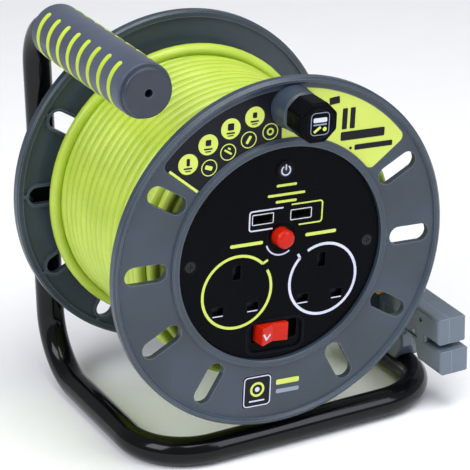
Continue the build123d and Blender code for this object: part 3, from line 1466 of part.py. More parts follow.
def corner_radii(points):
    radii = []
    for before, here, after in zip(points, points[1:], points[2:]):
        run_in = Vector(*here) - Vector(*before)
        run_out = Vector(*after) - Vector(*here)
        turn = math.radians(run_in.get_angle(run_out))
        radii.append(CORNER_SHARE * min(run_in.length, run_out.length) / math.tan(turn / 2))
    return radii


TAIL_RADII = corner_radii(TAIL_ROUTE)
with BuildPart() as cable_tail:
    with BuildLine() as tail_line:
        FilletPolyline(*TAIL_ROUTE, radius=TAIL_RADII)
    tail_path = tail_line.wires()[0]
    with BuildSketch(Plane(origin=tail_path @ 0, z_dir=tail_path % 0)):
        Circle(LEAD_R)
    sweep(path=tail_path)
save(cable_tail.part, "cable_tail")

print("tail radii", [round(r, 1) for r in TAIL_RADII])
print("tail length", round(tail_path.length, 1))
print("tail volume ratio", round(cable_tail.part.volume / (math.pi * LEAD_R**2 * tail_path.length), 4))
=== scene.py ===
# %% [markdown]
# # An extension cord reel
# The reel is a slotted plastic drum of lime cable on a bent tube stand, with a round black face that
# holds two sockets, two charging ports, a reset button and a rocker switch. The drum, stand and small
# moving parts come ready made as the frame. This lesson winds the cable on, gives every part its
# finish and adds the printing.

import math

import bpy
from mathutils import Matrix, Vector


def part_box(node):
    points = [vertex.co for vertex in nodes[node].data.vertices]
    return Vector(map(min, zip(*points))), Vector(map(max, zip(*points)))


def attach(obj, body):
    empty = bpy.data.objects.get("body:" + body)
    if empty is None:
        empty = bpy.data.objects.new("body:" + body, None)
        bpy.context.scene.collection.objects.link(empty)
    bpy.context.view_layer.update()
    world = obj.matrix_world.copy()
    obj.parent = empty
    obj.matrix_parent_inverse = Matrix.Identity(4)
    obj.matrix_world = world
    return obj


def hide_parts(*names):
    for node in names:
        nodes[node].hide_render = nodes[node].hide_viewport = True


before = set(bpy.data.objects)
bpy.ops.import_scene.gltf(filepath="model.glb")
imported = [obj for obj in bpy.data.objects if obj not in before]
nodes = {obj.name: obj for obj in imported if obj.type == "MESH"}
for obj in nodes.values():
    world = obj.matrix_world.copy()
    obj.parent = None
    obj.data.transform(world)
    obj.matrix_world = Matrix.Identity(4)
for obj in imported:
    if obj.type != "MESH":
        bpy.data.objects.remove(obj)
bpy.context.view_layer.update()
print("the frame has", len(nodes), "parts")

# %% [markdown]
# Every place on the reel is easiest to give from the drum's axle: so far to the right, so far up and
# so deep behind the front rim. The front flange's box holds the axle in its middle and the rim at its
# lowest y. The drum is parked turned four degrees clockwise, so its own right and up are turned too.

# %% The reel's own coordinates
MM = 0.001
rim_low, rim_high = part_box("front_flange")
AXLE_X = (rim_low.x + rim_high.x) / 2
AXLE_Z = (rim_low.z + rim_high.z) / 2
RIM_Y = rim_low.y
DRUM_TURN = math.radians(4)
DRUM_RIGHT = Vector((math.cos(DRUM_TURN), 0, -math.sin(DRUM_TURN)))
DRUM_UP = Vector((math.sin(DRUM_TURN), 0, math.cos(DRUM_TURN)))


def reel_point(x, depth, z):
    """A point of the stand, in millimetres right of the axle, behind the rim and above the axle."""
    return Vector((AXLE_X + x * MM, RIM_Y + depth * MM, AXLE_Z + z * MM))


def drum_matrix(depth):
    """Flat shapes are drawn in the XY plane in mm. This stands them up on the drum, facing forwards."""
    place = Matrix((DRUM_RIGHT, DRUM_UP, Vector((0, -1, 0)))).transposed().to_4x4()
    place.translation = reel_point(0, depth, 0)
    return place @ Matrix.Scale(MM, 4)


print("axle at", round(AXLE_X, 4), round(AXLE_Z, 4), "rim at", round(RIM_Y, 4))

# %% [markdown]
# ## The camera
# A long lens from the front left and above, as a catalogue would show it. It is given by what it looks
# at, its azimuth, elevation, distance and a slight roll, because those are easy to picture and to change.

# %% Camera
CAMERA_AZIMUTH = math.radians(-27.046)
CAMERA_ELEVATION = math.radians(23.539)
CAMERA_ROLL = math.radians(-1.129)
CAMERA_DISTANCE = 1.3324
CAMERA_TARGET = reel_point(-30.03, 0, 19.13)

camera_data = bpy.data.cameras.new("catalogue_camera")
camera_data.lens = 183.8
camera_data.sensor_width = 36
camera = bpy.data.objects.new("catalogue_camera", camera_data)
bpy.context.scene.collection.objects.link(camera)
away = Vector((
    math.sin(CAMERA_AZIMUTH) * math.cos(CAMERA_ELEVATION),
    -math.cos(CAMERA_AZIMUTH) * math.cos(CAMERA_ELEVATION),
    math.sin(CAMERA_ELEVATION),
))
level = Vector((math.cos(CAMERA_AZIMUTH), math.sin(CAMERA_AZIMUTH), 0))
upright = away.cross(level)
rolled_right = level * math.cos(CAMERA_ROLL) + upright * math.sin(CAMERA_ROLL)
rolled_up = upright * math.cos(CAMERA_ROLL) - level * math.sin(CAMERA_ROLL)
camera.matrix_world = (
    Matrix.Translation(CAMERA_TARGET + away * CAMERA_DISTANCE)
    @ Matrix((rolled_right, rolled_up, away)).transposed().to_4x4()
)
bpy.context.scene.camera = camera
print("the camera stands at", [round(part, 3) for part in camera.matrix_world.translation])

# %% [markdown]
# ## Colours and nodes
# Colours are picked as sRGB hex values, the way a paint chart gives them, and Blender's shaders want
# linear light, so one function turns them. Another one adds a node with its settings and its links,
# which keeps each material short enough to read.


# %% Helpers for materials
def linear(hex_colour):
    """An sRGB hex colour such as '#c0ffee' as linear red, green, blue and an alpha of 1."""
    parts = [int(hex_colour[i : i + 2], 16) / 255 for i in (1, 3, 5)]
    return [p / 12.92 if p <= 0.04045 else ((p + 0.055) / 1.055) ** 2.4 for p in parts] + [1]


def add_node(tree, kind, inputs=None, **settings):
    """Adds a shader node, sets its properties, and sets or links each of its named inputs."""
    node = tree.nodes.new("ShaderNode" + kind)
    for name, value in settings.items():
        setattr(node, name, value)
    for name, value in (inputs or {}).items():
        if isinstance(value, bpy.types.NodeSocket):
            tree.links.new(value, node.inputs[name])
        else:
            node.inputs[name].default_value = value
    return node


def start_material(name):
    """A new material, its tree and the object coordinates that every pattern here is laid on."""
    material = bpy.data.materials.new(name)
    material.use_nodes = True
    tree = material.node_tree
    tree.nodes.clear()
    place = add_node(tree, "TexCoord").outputs["Object"]
    return material, tree, place


def finish_material(tree, shader):
    """Gives the shader to the material's surface."""
    add_node(tree, "OutputMaterial", {"Surface": shader.outputs[0]})


print("slate in linear light is", [round(part, 3) for part in linear("#2e3842")])


# %% [markdown]
# ## Moulded plastic
# Most of the reel is injection moulded. A mould's spark-eroded grain breaks up the gloss, and the colour
# drifts a little from one flow of plastic to the next. Sharp edges are painted paler: partly rubbing from
# handling, partly a painted highlight where a rounded edge would catch the light. Grain is about a third
# of a millimetre wide on the real thing and is drawn a little coarser here, because finer than that would
# not show. Every plastic here has an index of refraction near 1.5.


# %% Moulded plastic
def noise(tree, place, size_mm, detail=3, roughness=0.55):
    """Noise whose lumps are about size_mm across."""
    return add_node(
        tree, "TexNoise",
        {"Vector": place, "Scale": 1 / (size_mm * MM), "Detail": detail, "Roughness": roughness},
    ).outputs["Fac"]


def spread(tree, value, low, high):
    """Turns a noise's middle values into a number from low to high."""
    return add_node(
        tree, "MapRange",
        {"Value": value, "From Min": 0.35, "From Max": 0.65, "To Min": low, "To Max": high},
    ).outputs["Result"]


def mixed(tree, amount, first, second):
    """A colour between two colours, each a hex value or a socket."""
    node = add_node(tree, "Mix", {0: amount}, data_type="RGBA")
    for number, colour in ((6, first), (7, second)):
        if isinstance(colour, str):
            node.inputs[number].default_value = linear(colour)
        else:
            tree.links.new(colour, node.inputs[number])
    return node.outputs[2]


def edge_rubbing_and_highlight(tree, radius_mm):
    """Near 1 along sharp edges and 0 on flats: how far a rounded normal leans from the true one."""
    rounded = add_node(tree, "Bevel", {"Radius": radius_mm * MM}, samples=4).outputs["Normal"]
    true_normal = add_node(tree, "NewGeometry").outputs["Normal"]
    lean = add_node(tree, "VectorMath", {0: rounded, 1: true_normal}, operation="DOT_PRODUCT")
    return add_node(
        tree, "MapRange",
        {"Value": lean.outputs["Value"], "From Min": 0.99, "From Max": 0.8, "To Min": 0, "To Max": 1},
    ).outputs["Result"]


FLOW_MM = 38
SCUFF_MM = 9
# How far sharp edges go to their pale colour: partly rubbing, partly painted highlight
MOST_EDGE_RUBBING_AND_HIGHLIGHT = 0.55
GRAIN_HEIGHT_MM = 0.05


def moulded_plastic(
    name, colour, drift, roughness, grain_mm=0.6, grain=0.12, edge=None, edge_mm=0.8, coat=0.0,
    sheen=0.0, shine=0.5,
):
    """colour and drift are the two colours it wanders between, edge is the pale colour painted along sharp
    edges, partly rubbing and partly painted highlight, and shine is how strongly the bare plastic reflects."""
    material, tree, place = start_material(name)
    flow = noise(tree, place, FLOW_MM, 2)
    scuffs = noise(tree, place, SCUFF_MM, 5, 0.7)
    base = mixed(tree, spread(tree, flow, 0, 1), colour, drift)
    # Sharp edges are painted paler: partly rubbing, partly a painted highlight
    if edge:
        edge_rubbing_and_highlight_amount = add_node(tree, "Math", {0: edge_rubbing_and_highlight(tree, edge_mm), 1: MOST_EDGE_RUBBING_AND_HIGHLIGHT}, operation="MULTIPLY")
        base = mixed(tree, edge_rubbing_and_highlight_amount.outputs[0], base, edge)
    bump = add_node(
        tree, "Bump",
        {"Height": noise(tree, place, grain_mm, 2), "Strength": grain, "Distance": GRAIN_HEIGHT_MM * MM},
    )
    shader = add_node(
        tree, "BsdfPrincipled",
        {
            "Base Color": base,
            "Roughness": spread(tree, scuffs, roughness - 0.05, roughness + 0.07),
            "IOR": 1.5,
            "Specular IOR Level": shine,
            "Coat Weight": coat,
            "Coat Roughness": 0.08,
            "Sheen Weight": sheen,
            "Sheen Roughness": 0.4,
            "Normal": bump.outputs["Normal"],
        },
    )
    finish_material(tree, shader)
    return material


# Each edge colour below is painted along sharp edges: partly rubbing, partly a painted highlight
# Satin spark-eroded polypropylene: blue-grey, with soft broad highlights, and edges painted paler as
# rubbing and painted highlight
slate_polypropylene = moulded_plastic(
    "slate_polypropylene", "#2e3842", "#36414d", 0.34, edge="#8593a2", shine=0.45,
)
# Polished polycarbonate: nearly black, with a smooth glassy shine that shows the room
black_polycarbonate = moulded_plastic(
    "black_polycarbonate", "#050609", "#08090d", 0.3, grain=0.05, edge="#2c303b", shine=0.04,
)
# Satin nylon: black, and a little duller than the face, so that it reads as another piece
black_nylon = moulded_plastic(
    "black_nylon", "#0a0b0e", "#0f1014", 0.36, grain=0.14, edge="#343945", shine=0.25,
)
# Natural nylon: creamy and slightly waxy
natural_nylon = moulded_plastic("natural_nylon", "#e6e2d6", "#d9d3c2", 0.45)
# Glossy ABS: a clear warm red under a polished skin
red_abs = moulded_plastic(
    "red_abs", "#c6200c", "#b01808", 0.24, grain=0.04, edge="#e8442e", edge_mm=0.6, shine=0.18,
)
# Rubber-like overmoulding: soft and dusty, with no sharp highlight
soft_elastomer = moulded_plastic(
    "soft_elastomer", "#3c4454", "#454e5f", 0.5,
    grain_mm=0.8, grain=0.3, edge="#77829a", sheen=0.15, shine=0.4,
)
# A firmer grade of it for the end cap: darker and closer, so the cap reads as its own piece
dark_elastomer = moulded_plastic(
    "dark_slate_elastomer", "#282e3a", "#303744", 0.42, grain_mm=1.6, grain=0.15, edge="#77829a",
)
# The same elastomer in lime for the ribs
lime_elastomer = moulded_plastic(
    "lime_elastomer", "#c3d63c", "#b4c92f", 0.5, grain_mm=0.8, grain=0.2, edge="#dcea6c",
)
# Polished grey ABS: the plug park, paler and glossier than the drum, with a clear highlight on each lobe
# and a painted highlight along its edges
gloss_abs = moulded_plastic(
    "gloss_slate_abs", "#56626f", "#5f6b7a", 0.2, grain=0.05, edge="#9aa7b6", coat=0.5,
)
# Cable sheath: extruded PVC, bright lime and waxy, with a faint drag from the die
lime_sheath = moulded_plastic(
    "lime_pvc_sheath", "#bcd14a", "#adc43c", 0.4, grain_mm=1.6, grain=0.1, coat=0.15,
)
# Fired steatite: the fuse's white body
glazed_ceramic = moulded_plastic("glazed_ceramic", "#efece2", "#e2ddcf", 0.2, grain=0.03, coat=0.6)
# Screen ink and vinyl film: flat colour with a satin film's even shine
lime_print = moulded_plastic("lime_vinyl", "#d0de60", "#c9d858", 0.38, grain_mm=1.2, grain=0.05)
black_print = moulded_plastic(
    "black_vinyl", "#101118", "#15161e", 0.34, grain_mm=1.2, grain=0.05, shine=0.15,
)
pale_ink = moulded_plastic("pale_screen_ink", "#d4d6e8", "#c6c9de", 0.4, grain_mm=0.5, grain=0.05)
grey_ink = moulded_plastic("grey_screen_ink", "#8d97a8", "#818b9c", 0.4, grain_mm=0.5, grain=0.05)
print(len(bpy.data.materials), "materials so far")

# %% [markdown]
# ## Enamel and metal
# The tube is dipped in black stoving enamel, which flows into a slow orange-peel ripple and keeps a
# hard clear gloss. The screws are zinc plated and turned, so their shine is drawn out by fine lines.
# Metals keep the default index of refraction, because their colour already says how they reflect.


# %% Enamel and metal
DUST_MM = 4
DIP_MM = 60
RIPPLE_HEIGHT_MM = 0.1
TARNISH_MM = 3
LINE_MM = 1.0
LINE_STRETCH = (1, 8, 1)
LINE_HEIGHT_MM = 0.05


def stoved_enamel(name, colour, drift, roughness, peel_mm, peel):
    """peel_mm is the width of the coat's ripples and peel their strength."""
    material, tree, place = start_material(name)
    dust = noise(tree, place, DUST_MM, 6, 0.75)
    ripple = add_node(
        tree, "Bump",
        {"Height": noise(tree, place, peel_mm, 1), "Strength": peel, "Distance": RIPPLE_HEIGHT_MM * MM},
    )
    shader = add_node(
        tree, "BsdfPrincipled",
        {
            "Base Color": mixed(tree, spread(tree, noise(tree, place, DIP_MM, 2), 0, 1), colour, drift),
            "Roughness": spread(tree, dust, roughness, roughness + 0.08),
            "IOR": 1.4,
            "Specular IOR Level": 0.25,
            "Coat Weight": 0.15,
            "Coat Roughness": 0.03,
            "Normal": ripple.outputs["Normal"],
            "Coat Normal": ripple.outputs["Normal"],
        },
    )
    finish_material(tree, shader)
    return material


def plated_metal(name, colour, tarnish, roughness):
    """colour wanders to tarnish in small patches, and fine drawn-out lines break up the shine."""
    material, tree, place = start_material(name)
    patches = noise(tree, place, TARNISH_MM, 4)
    stretched = add_node(tree, "Mapping", {"Vector": place, "Scale": LINE_STRETCH}).outputs["Vector"]
    lines = noise(tree, stretched, LINE_MM, 4)
    bump = add_node(tree, "Bump", {"Height": lines, "Strength": 0.12, "Distance": LINE_HEIGHT_MM * MM})
    shader = add_node(
        tree, "BsdfPrincipled",
        {
            "Base Color": mixed(tree, spread(tree, patches, 0, 1), colour, tarnish),
            "Metallic": 1.0,
            "Roughness": spread(tree, lines, roughness - 0.06, roughness + 0.1),
            "Normal": bump.outputs["Normal"],
        },
    )
    finish_material(tree, shader)
    return material


gloss_enamel = stoved_enamel("gloss_black_enamel", "#030406", "#06070a", 0.12, 14.0, 0.02)
powder_coat = stoved_enamel("satin_black_powder_coat", "#0d0e11", "#15161a", 0.4, 1.2, 0.3)
zinc_plate = plated_metal("bright_zinc_plate", "#c2c7cc", "#a7adb5", 0.28)
spring_wire = plated_metal("drawn_spring_wire", "#a9abb0", "#8d9097", 0.3)
pressed_brass = plated_metal("pressed_brass", "#d2b060", "#b8944a", 0.28)
nickel_shell = plated_metal("nickel_plated_shell", "#dcdcde", "#bdbdc2", 0.22)
print(len(bpy.data.materials), "materials with the enamels and metals")

# %% [markdown]
# ## Two special finishes
# The charger's board is green solder mask over copper tracks: a brick pattern gives the tracks. The
# power lens is smoked acrylic, dark and glassy, so that only its mark shows.

# %% Board and lens
TRACK_SPACING_MM = 9
board_mask, board_tree, board_place = start_material("green_solder_mask")
tracks = add_node(
    board_tree, "TexBrick",
    {
        "Vector": board_place, "Scale": 1 / (TRACK_SPACING_MM * MM), "Mortar Size": 0.03,
        "Color1": linear("#12482a"), "Color2": linear("#0f3f25"), "Mortar": linear("#2f7a4a"),
    },
)
finish_material(board_tree, add_node(
    board_tree, "BsdfPrincipled",
    {"Base Color": tracks.outputs["Color"], "Roughness": 0.3, "Coat Weight": 0.5},
))
smoked_acrylic = moulded_plastic(
    "smoked_acrylic", "#04060c", "#070a14", 0.1, grain=0.02, shine=0.2, coat=0.2,
)
print(len(bpy.data.materials), "materials with the board and the lens")

# %% [markdown]
# Each part's slot in the record says what it is made of, so one table from slot to finish dresses the
# whole frame. A part's object has the slot's material already, and the finish simply takes its place.

# %% Dress the frame
FINISHES = {
    "tube_paint": gloss_enamel,
    "carrier_paint": powder_coat,
    "zinc_steel": zinc_plate,
    "spring_steel": spring_wire,
    "brass": pressed_brass,
    "slate_plastic": slate_polypropylene,
    "face_plastic": black_polycarbonate,
    "black_plastic": black_nylon,
    "knob_plastic": black_polycarbonate,
    "nylon": natural_nylon,
    "cable_lime": lime_sheath,
    "print_lime": lime_print,
    "print_black": black_print,
    "grip_soft": soft_elastomer,
    "grip_lime": lime_elastomer,
    "red_plastic": red_abs,
    "lens": smoked_acrylic,
    "board": board_mask,
    "port_metal": nickel_shell,
    "plug_plastic": black_nylon,
    "ceramic": glazed_ceramic,
}
for node in nodes.values():
    node.data.materials[0] = FINISHES[node.data.materials[0].name.split(".")[0]]

# A few pieces of a slot differ from the rest of it: the shutters and the face's and the grip's screws are
# blackened, the park is polished, and the grip's end cap is a darker grade than its sleeve
OWN_FINISHES = {
    "shutter_left": black_nylon,
    "shutter_right": black_nylon,
    "face_screws": black_nylon,
    "grip_screw": black_nylon,
    "park_half_left": gloss_abs,
    "park_half_right": gloss_abs,
    "grip_end_cap": dark_elastomer,
}
for name, finish in OWN_FINISHES.items():
    nodes[name].data.materials[0] = finish
print(len(nodes), "parts dressed,", len(OWN_FINISHES), "of them in a finish of their own")

# %% [markdown]
# ## The wound cable
# The cable is one long line. It comes out of the barrel's gland, crosses to the front flange and is
# wound back and forth in three layers, each layer's turns resting on the ones below. One last turn
# rides up on the rear end of the winding, and the free end leaves from there. A NURBS spline with its
# points on a helix gives it, and it cuts a little inside its points, so the points stand out by that
# much. Nobody winds a reel evenly, so each turn wanders a little, by slow waves that never line up.

# %% Wind the cable
CABLE_D = 7.2
# A NURBS line through a helix with this many points a turn reaches this share of their radius
TURN_POINTS = 24
SPLINE_REACH = 0.9914
PITCH = 7.08
WIND_FRONT = 19.4
WIND_REAR = 131.6
LAYER_RADII = (65.7, 71.9, 78.1)
PROUD_RADIUS = 84.2
PROUD_TURNS = 1.0
PROUD_INSET = 0.6
GLAND_DEPTH = 60.0
CROSSING_TURNS = 0.45
CLIMB_TURNS = 0.3
LAST_CLIMB_TURNS = 0.25
END_ANGLE = math.radians(24)
# Each wave is its size in millimetres, how many radians it goes on with each turn, and its start
WANDER_OUT = (0.22, 2.13, 0.7)
WANDER_ALONG = (0.24, 3.9, 0.0)
WANDER_ALONG_SLOWLY = (0.3, 0.83, 1.1)
SETTLE_IN_TURNS = 2
SETTLE_OUT_TURNS = 1.5
ROUNDING = 1e-9
layer_turns = (WIND_REAR - WIND_FRONT) / PITCH


def winding_stops():
    """(turns so far, radius, depth) where each stretch of the winding starts or ends."""
    stops = [(0.0, LAYER_RADII[0], GLAND_DEPTH), (CROSSING_TURNS, LAYER_RADII[0], WIND_FRONT)]
    ends = (WIND_REAR, WIND_FRONT)
    for number, radius in enumerate(LAYER_RADII):
        last_turn, _, start_depth = stops[-1]
        stops.append((last_turn + CLIMB_TURNS, radius, start_depth))
        stops.append((last_turn + CLIMB_TURNS + layer_turns, radius, ends[number % 2]))
    proud_turn = stops[-1][0] + LAST_CLIMB_TURNS
    proud_depth = WIND_REAR - PROUD_INSET
    stops.append((proud_turn, PROUD_RADIUS, proud_depth))
    stops.append((proud_turn + PROUD_TURNS, PROUD_RADIUS, proud_depth - PITCH * PROUD_TURNS))
    return stops


def wander(wave, turn):
    """How far off the even winding a turn lies, from the wave's size, radians a turn and start."""
    size, rate, start = wave
    return size * math.sin(turn * rate + start)


def winding_points():
    """Points round the helix, from the gland out to where the free end leaves."""
    stops = winding_stops()
    total = stops[-1][0]
    steps = round(total * TURN_POINTS)
    points = []
    for step in range(steps + 1):
        turn = total * step / steps
        after = next(i for i, stop in enumerate(stops) if stop[0] >= turn - ROUNDING)
        after = max(after, 1)
        before_stop, after_stop = stops[after - 1], stops[after]
        share = (turn - before_stop[0]) / (after_stop[0] - before_stop[0])
        radius = before_stop[1] + (after_stop[1] - before_stop[1]) * share
        depth = before_stop[2] + (after_stop[2] - before_stop[2]) * share
        fade = min(1, turn / SETTLE_IN_TURNS, (total - turn) / SETTLE_OUT_TURNS)
        radius += fade * wander(WANDER_OUT, turn)
        depth += fade * (wander(WANDER_ALONG, turn) + wander(WANDER_ALONG_SLOWLY, turn))
        angle = END_ANGLE + 2 * math.pi * (total - turn)
        reach = radius / SPLINE_REACH
        points.append(reel_point(reach * math.cos(angle), depth, reach * math.sin(angle)))
    return points


def cable(name, points, ring=4):
    """A round cable along a smooth spline through the neighbourhood of its points."""
    curve = bpy.data.curves.new(name, "CURVE")
    curve.dimensions = "3D"
    spline = curve.splines.new("NURBS")
    spline.points.add(len(points) - 1)
    for spline_point, point in zip(spline.points, points):
        spline_point.co = (*point, 1)
    spline.order_u = 3
    spline.use_endpoint_u = True
    curve.bevel_depth = CABLE_D / 2 * MM
    curve.bevel_resolution = ring
    curve.use_fill_caps = True
    curve.materials.append(lime_sheath)
    piece = bpy.data.objects.new(name, curve)
    bpy.context.scene.collection.objects.link(piece)
    return piece


def line_length(piece):
    """The length of the spline itself, read from the curve without its thickness."""
    bare = piece.data.copy()
    bare.bevel_depth = 0
    probe = bpy.data.objects.new("probe", bare)
    mesh = bpy.data.meshes.new_from_object(probe)
    line = [v.co.copy() for v in mesh.vertices]
    bpy.data.objects.remove(probe)
    bpy.data.meshes.remove(mesh)
    return sum((b - a).length for a, b in zip(line, line[1:]))


coil_points = winding_points()
wound_cable = cable("wound_cable", coil_points)
wound_cable.data.resolution_u = 3
wound_length = line_length(wound_cable)
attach(wound_cable, "drum")
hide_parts("cable_coil")
print("wound cable", round(wound_length, 2), "m")

# %% [markdown]
# The free end leaves the last turn, drops behind the front flange and goes into the plug's strain
# relief. Its points follow the same route as the frame's plain tube, and the first one lies inside the
# end of the last turn, so that the two join.

# %% The free end
TAIL_ROUTE = (
    (PROUD_RADIUS * math.cos(END_ANGLE), 123.7, PROUD_RADIUS * math.sin(END_ANGLE)),
    (83.0, 123.6, 20.8),
    (91.5, 120.6, 9.2),
    (99.2, 113.5, 0.8),
    (105.2, 104.4, -6.0),
    (109.2, 95.4, -13.4),
    (111.3, 89.6, -21.5),
    (112.0, 87.15, -29.5),
    (112.0, 87.15, -36.95),
)
tail_points = [reel_point(x, depth, z) for x, depth, z in TAIL_ROUTE]
free_end = cable("free_end", tail_points, ring=6)
free_end.data.resolution_u = 12
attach(free_end, "stand")
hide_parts("cable_tail")
line_length(free_end)
print("free end", round(line_length(free_end), 3), "m")

# %% [markdown]
# ## Printing
# Screen printing and labels are thin flat shapes. Each is drawn as a filled 2D curve in the drum's own
# millimetres, where a curve inside another makes a hole, then given a film's thickness, turned to mesh
# and stood up on the surface it is printed on. An open line becomes a closed outline by stepping to
# both sides of it, with a mitre at each corner.

# %% Flat shapes
FILM = 0.12
WELD = 0.002


def arc(cx, cy, radius, start, end, steps=32):
    """Points on an arc, with its angles in degrees."""
    angles = [math.radians(start + (end - start) * i / steps) for i in range(steps + 1)]
    return [(cx + radius * math.cos(a), cy + radius * math.sin(a)) for a in angles]


def disc(cx, cy, radius, steps=40):
    """Points round a circle, the first of them not repeated."""
    return arc(cx, cy, radius, 0, 360 - 360 / steps, steps - 1)


def rounded_box(cx, cy, width, height, radius, turn=0.0):
    """A box with rounded corners, turned that many degrees anticlockwise."""
    corners = []
    for quarter, (sx, sy) in enumerate(((1, 1), (-1, 1), (-1, -1), (1, -1))):
        x = sx * (width / 2 - radius)
        y = sy * (height / 2 - radius)
        corners += arc(x, y, radius, quarter * 90, quarter * 90 + 90, 6)
    c, s = math.cos(math.radians(turn)), math.sin(math.radians(turn))
    return [(cx + x * c - y * s, cy + x * s + y * c) for x, y in corners]


def stroke(points, width):
    """The closed outline of a line of that width through the points."""
    sides = ([], [])
    for i, (x, y) in enumerate(points):
        ahead = Vector(points[min(i + 1, len(points) - 1)]) - Vector((x, y))
        behind = Vector((x, y)) - Vector(points[max(i - 1, 0)])
        ahead = ahead.normalized() if ahead.length else behind.normalized()
        behind = behind.normalized() if behind.length else ahead
        along = (ahead + behind).normalized()
        mitre = width / 2 / max(0.5, along.dot(ahead))
        for side, sign in zip(sides, (1, -1)):
            side.append((x - sign * along.y * mitre, y + sign * along.x * mitre))
    return sides[0] + sides[1][::-1]


def printed(name, outlines, depth, finish, body="drum", film=FILM):
    """A film of ink on the surface at that depth, half of it let into the surface."""
    bpy.ops.object.select_all(action="DESELECT")
    curve = bpy.data.curves.new(name, "CURVE")
    curve.dimensions = "2D"
    curve.fill_mode = "BOTH"
    curve.extrude = film
    for outline in outlines:
        spline = curve.splines.new("POLY")
        spline.points.add(len(outline) - 1)
        for spline_point, (x, y) in zip(spline.points, outline):
            spline_point.co = (x, y, 0, 1)
        spline.use_cyclic_u = True
    piece = bpy.data.objects.new(name, curve)
    bpy.context.scene.collection.objects.link(piece)
    piece.matrix_world = drum_matrix(depth)
    piece.select_set(True)
    bpy.context.view_layer.objects.active = piece
    bpy.ops.object.convert(target="MESH")
    bpy.ops.object.transform_apply(location=True, rotation=True, scale=True)
    bpy.ops.object.mode_set(mode="EDIT")
    bpy.ops.mesh.select_all(action="SELECT")
    bpy.ops.mesh.remove_doubles(threshold=WELD * MM)
    bpy.ops.mesh.normals_make_consistent(inside=False)
    bpy.ops.object.mode_set(mode="OBJECT")
    piece.data.materials.clear()
    piece.data.materials.append(finish)
    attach(piece, body)
    print(name, len(piece.data.polygons), "faces")
    return piece


# %% [markdown]
# The face's printing follows its fittings: a broken ring round each socket with a small hook at the
# break, a bracket round each charging port, an arc under the reset button, and a plain rule where each
# caption would stand.

# %% Face printing
FACE_THICKNESS = 2.6
FACE_DEPTH = (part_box("face_plate")[1].y - RIM_Y) / MM - FACE_THICKNESS
RING_UP = -19.6
RING_W = 1.65
HOOK_W = RING_W * 0.9
RING_POINTS = 110
BRACKET_W = 0.85
BRACKET_CORNER_R = 1.6
CAPTION_H = 1.5
BIG_CAPTION_H = 2.0
MARK_W = 0.8

# Each ring is broken up towards the reset button: the left one at its start, the right one at its end
left_ring = arc(-26.8, RING_UP, 21.8, 44, 390, RING_POINTS)
right_ring = arc(28.6, RING_UP, 21.6, 120, -224, RING_POINTS)


def hook(start, right, up):
    """A short stroke from a ring's broken end."""
    return stroke([start, (start[0] + right, start[1] + up)], HOOK_W)


def bracket(x_open, x_shut, up_low, up_high, open_low):
    """A C of thin line round a port, with rounded corners at its shut end."""
    side = 1 if x_shut > x_open else -1
    corner_x = x_shut - side * BRACKET_CORNER_R
    outward = 90 - side * 90
    top_corner = arc(corner_x, up_high - BRACKET_CORNER_R, BRACKET_CORNER_R, 90, outward, 6)
    low_corner = arc(corner_x, up_low + BRACKET_CORNER_R, BRACKET_CORNER_R, outward, outward - side * 90, 6)
    return stroke([(x_open, up_high)] + top_corner + low_corner + [(open_low, up_low)], BRACKET_W)


def caption(left, right, up, height=CAPTION_H):
    """A plain rule from left to right, with rounded ends, where a caption would stand."""
    return rounded_box((left + right) / 2, up, right - left, height, height * 0.45)


printed("left_ring", [stroke(left_ring, RING_W)], FACE_DEPTH, lime_print)
printed("left_ring_hook", [hook(left_ring[0], 3.3, 1.8)], FACE_DEPTH, lime_print)
printed("right_ring", [stroke(right_ring, RING_W)], FACE_DEPTH, pale_ink)
printed("right_ring_hook", [hook(right_ring[-1], -1.6, 2.6)], FACE_DEPTH, pale_ink)
printed("left_port_bracket", [bracket(0.4, -20.8, 16.2, 27.9, -6.0)], FACE_DEPTH, pale_ink)
printed("right_port_bracket", [bracket(5.6, 25.6, 16.2, 29.0, 10.8)], FACE_DEPTH, lime_print)
RESET_UP, RESET_ARC_R, RESET_ARC_W = 9.0, 9.6, 0.9
reset_arc = stroke(arc(0, RESET_UP, RESET_ARC_R, 198, 306, 30), RESET_ARC_W)
printed("reset_arc", [reset_arc], FACE_DEPTH, pale_ink)
captions = [
    caption(-4.7, 8.2, 41.3), caption(-10.0, 13.8, 35.7), caption(-4.8, 8.6, 31.6),
    caption(-32.4, -11.6, 8.6, BIG_CAPTION_H), caption(15.6, 35.6, 9.2, BIG_CAPTION_H),
]
for number, outline in enumerate(captions):
    printed(f"caption_{number + 1}", [outline], FACE_DEPTH, lime_print)

# %% [markdown]
# The line apertures catch the light on their lower lips, so a thin pale strip is painted on each lip as a
# highlight. The power mark is a ring with a gap at its top and a bar through the gap, and it sits on the
# lens.

# %% Painted highlights on the aperture lips, and the power mark
SOCKET_X = 27.3
APERTURE_OFF = 11.1
LIP_HIGHLIGHT_UP = -32.7
# A thin pale strip on each aperture's lower lip: a painted highlight, made with the printing's pale ink
for number, (side, offset) in enumerate(((-1, -1), (-1, 1), (1, -1), (1, 1))):
    lip_highlight = rounded_box(side * SOCKET_X + offset * APERTURE_OFF, LIP_HIGHLIGHT_UP, 6.6, 0.6, 0.25)
    printed(f"aperture_lip_highlight_{number + 1}", [lip_highlight], FACE_DEPTH, pale_ink)

LENS_DEPTH = (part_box("power_lens")[0].y - RIM_Y) / MM
MARK_UP, MARK_R = 50.6, 2.75
mark_ring = stroke(arc(0.0, MARK_UP, MARK_R, 122, 418, 30), MARK_W)
mark_bar = stroke([(0.0, MARK_UP + 0.2), (0.0, MARK_UP + 3.5)], MARK_W)
printed("power_mark_ring", [mark_ring], LENS_DEPTH, pale_ink)
printed("power_mark_bar", [mark_bar], LENS_DEPTH, pale_ink)

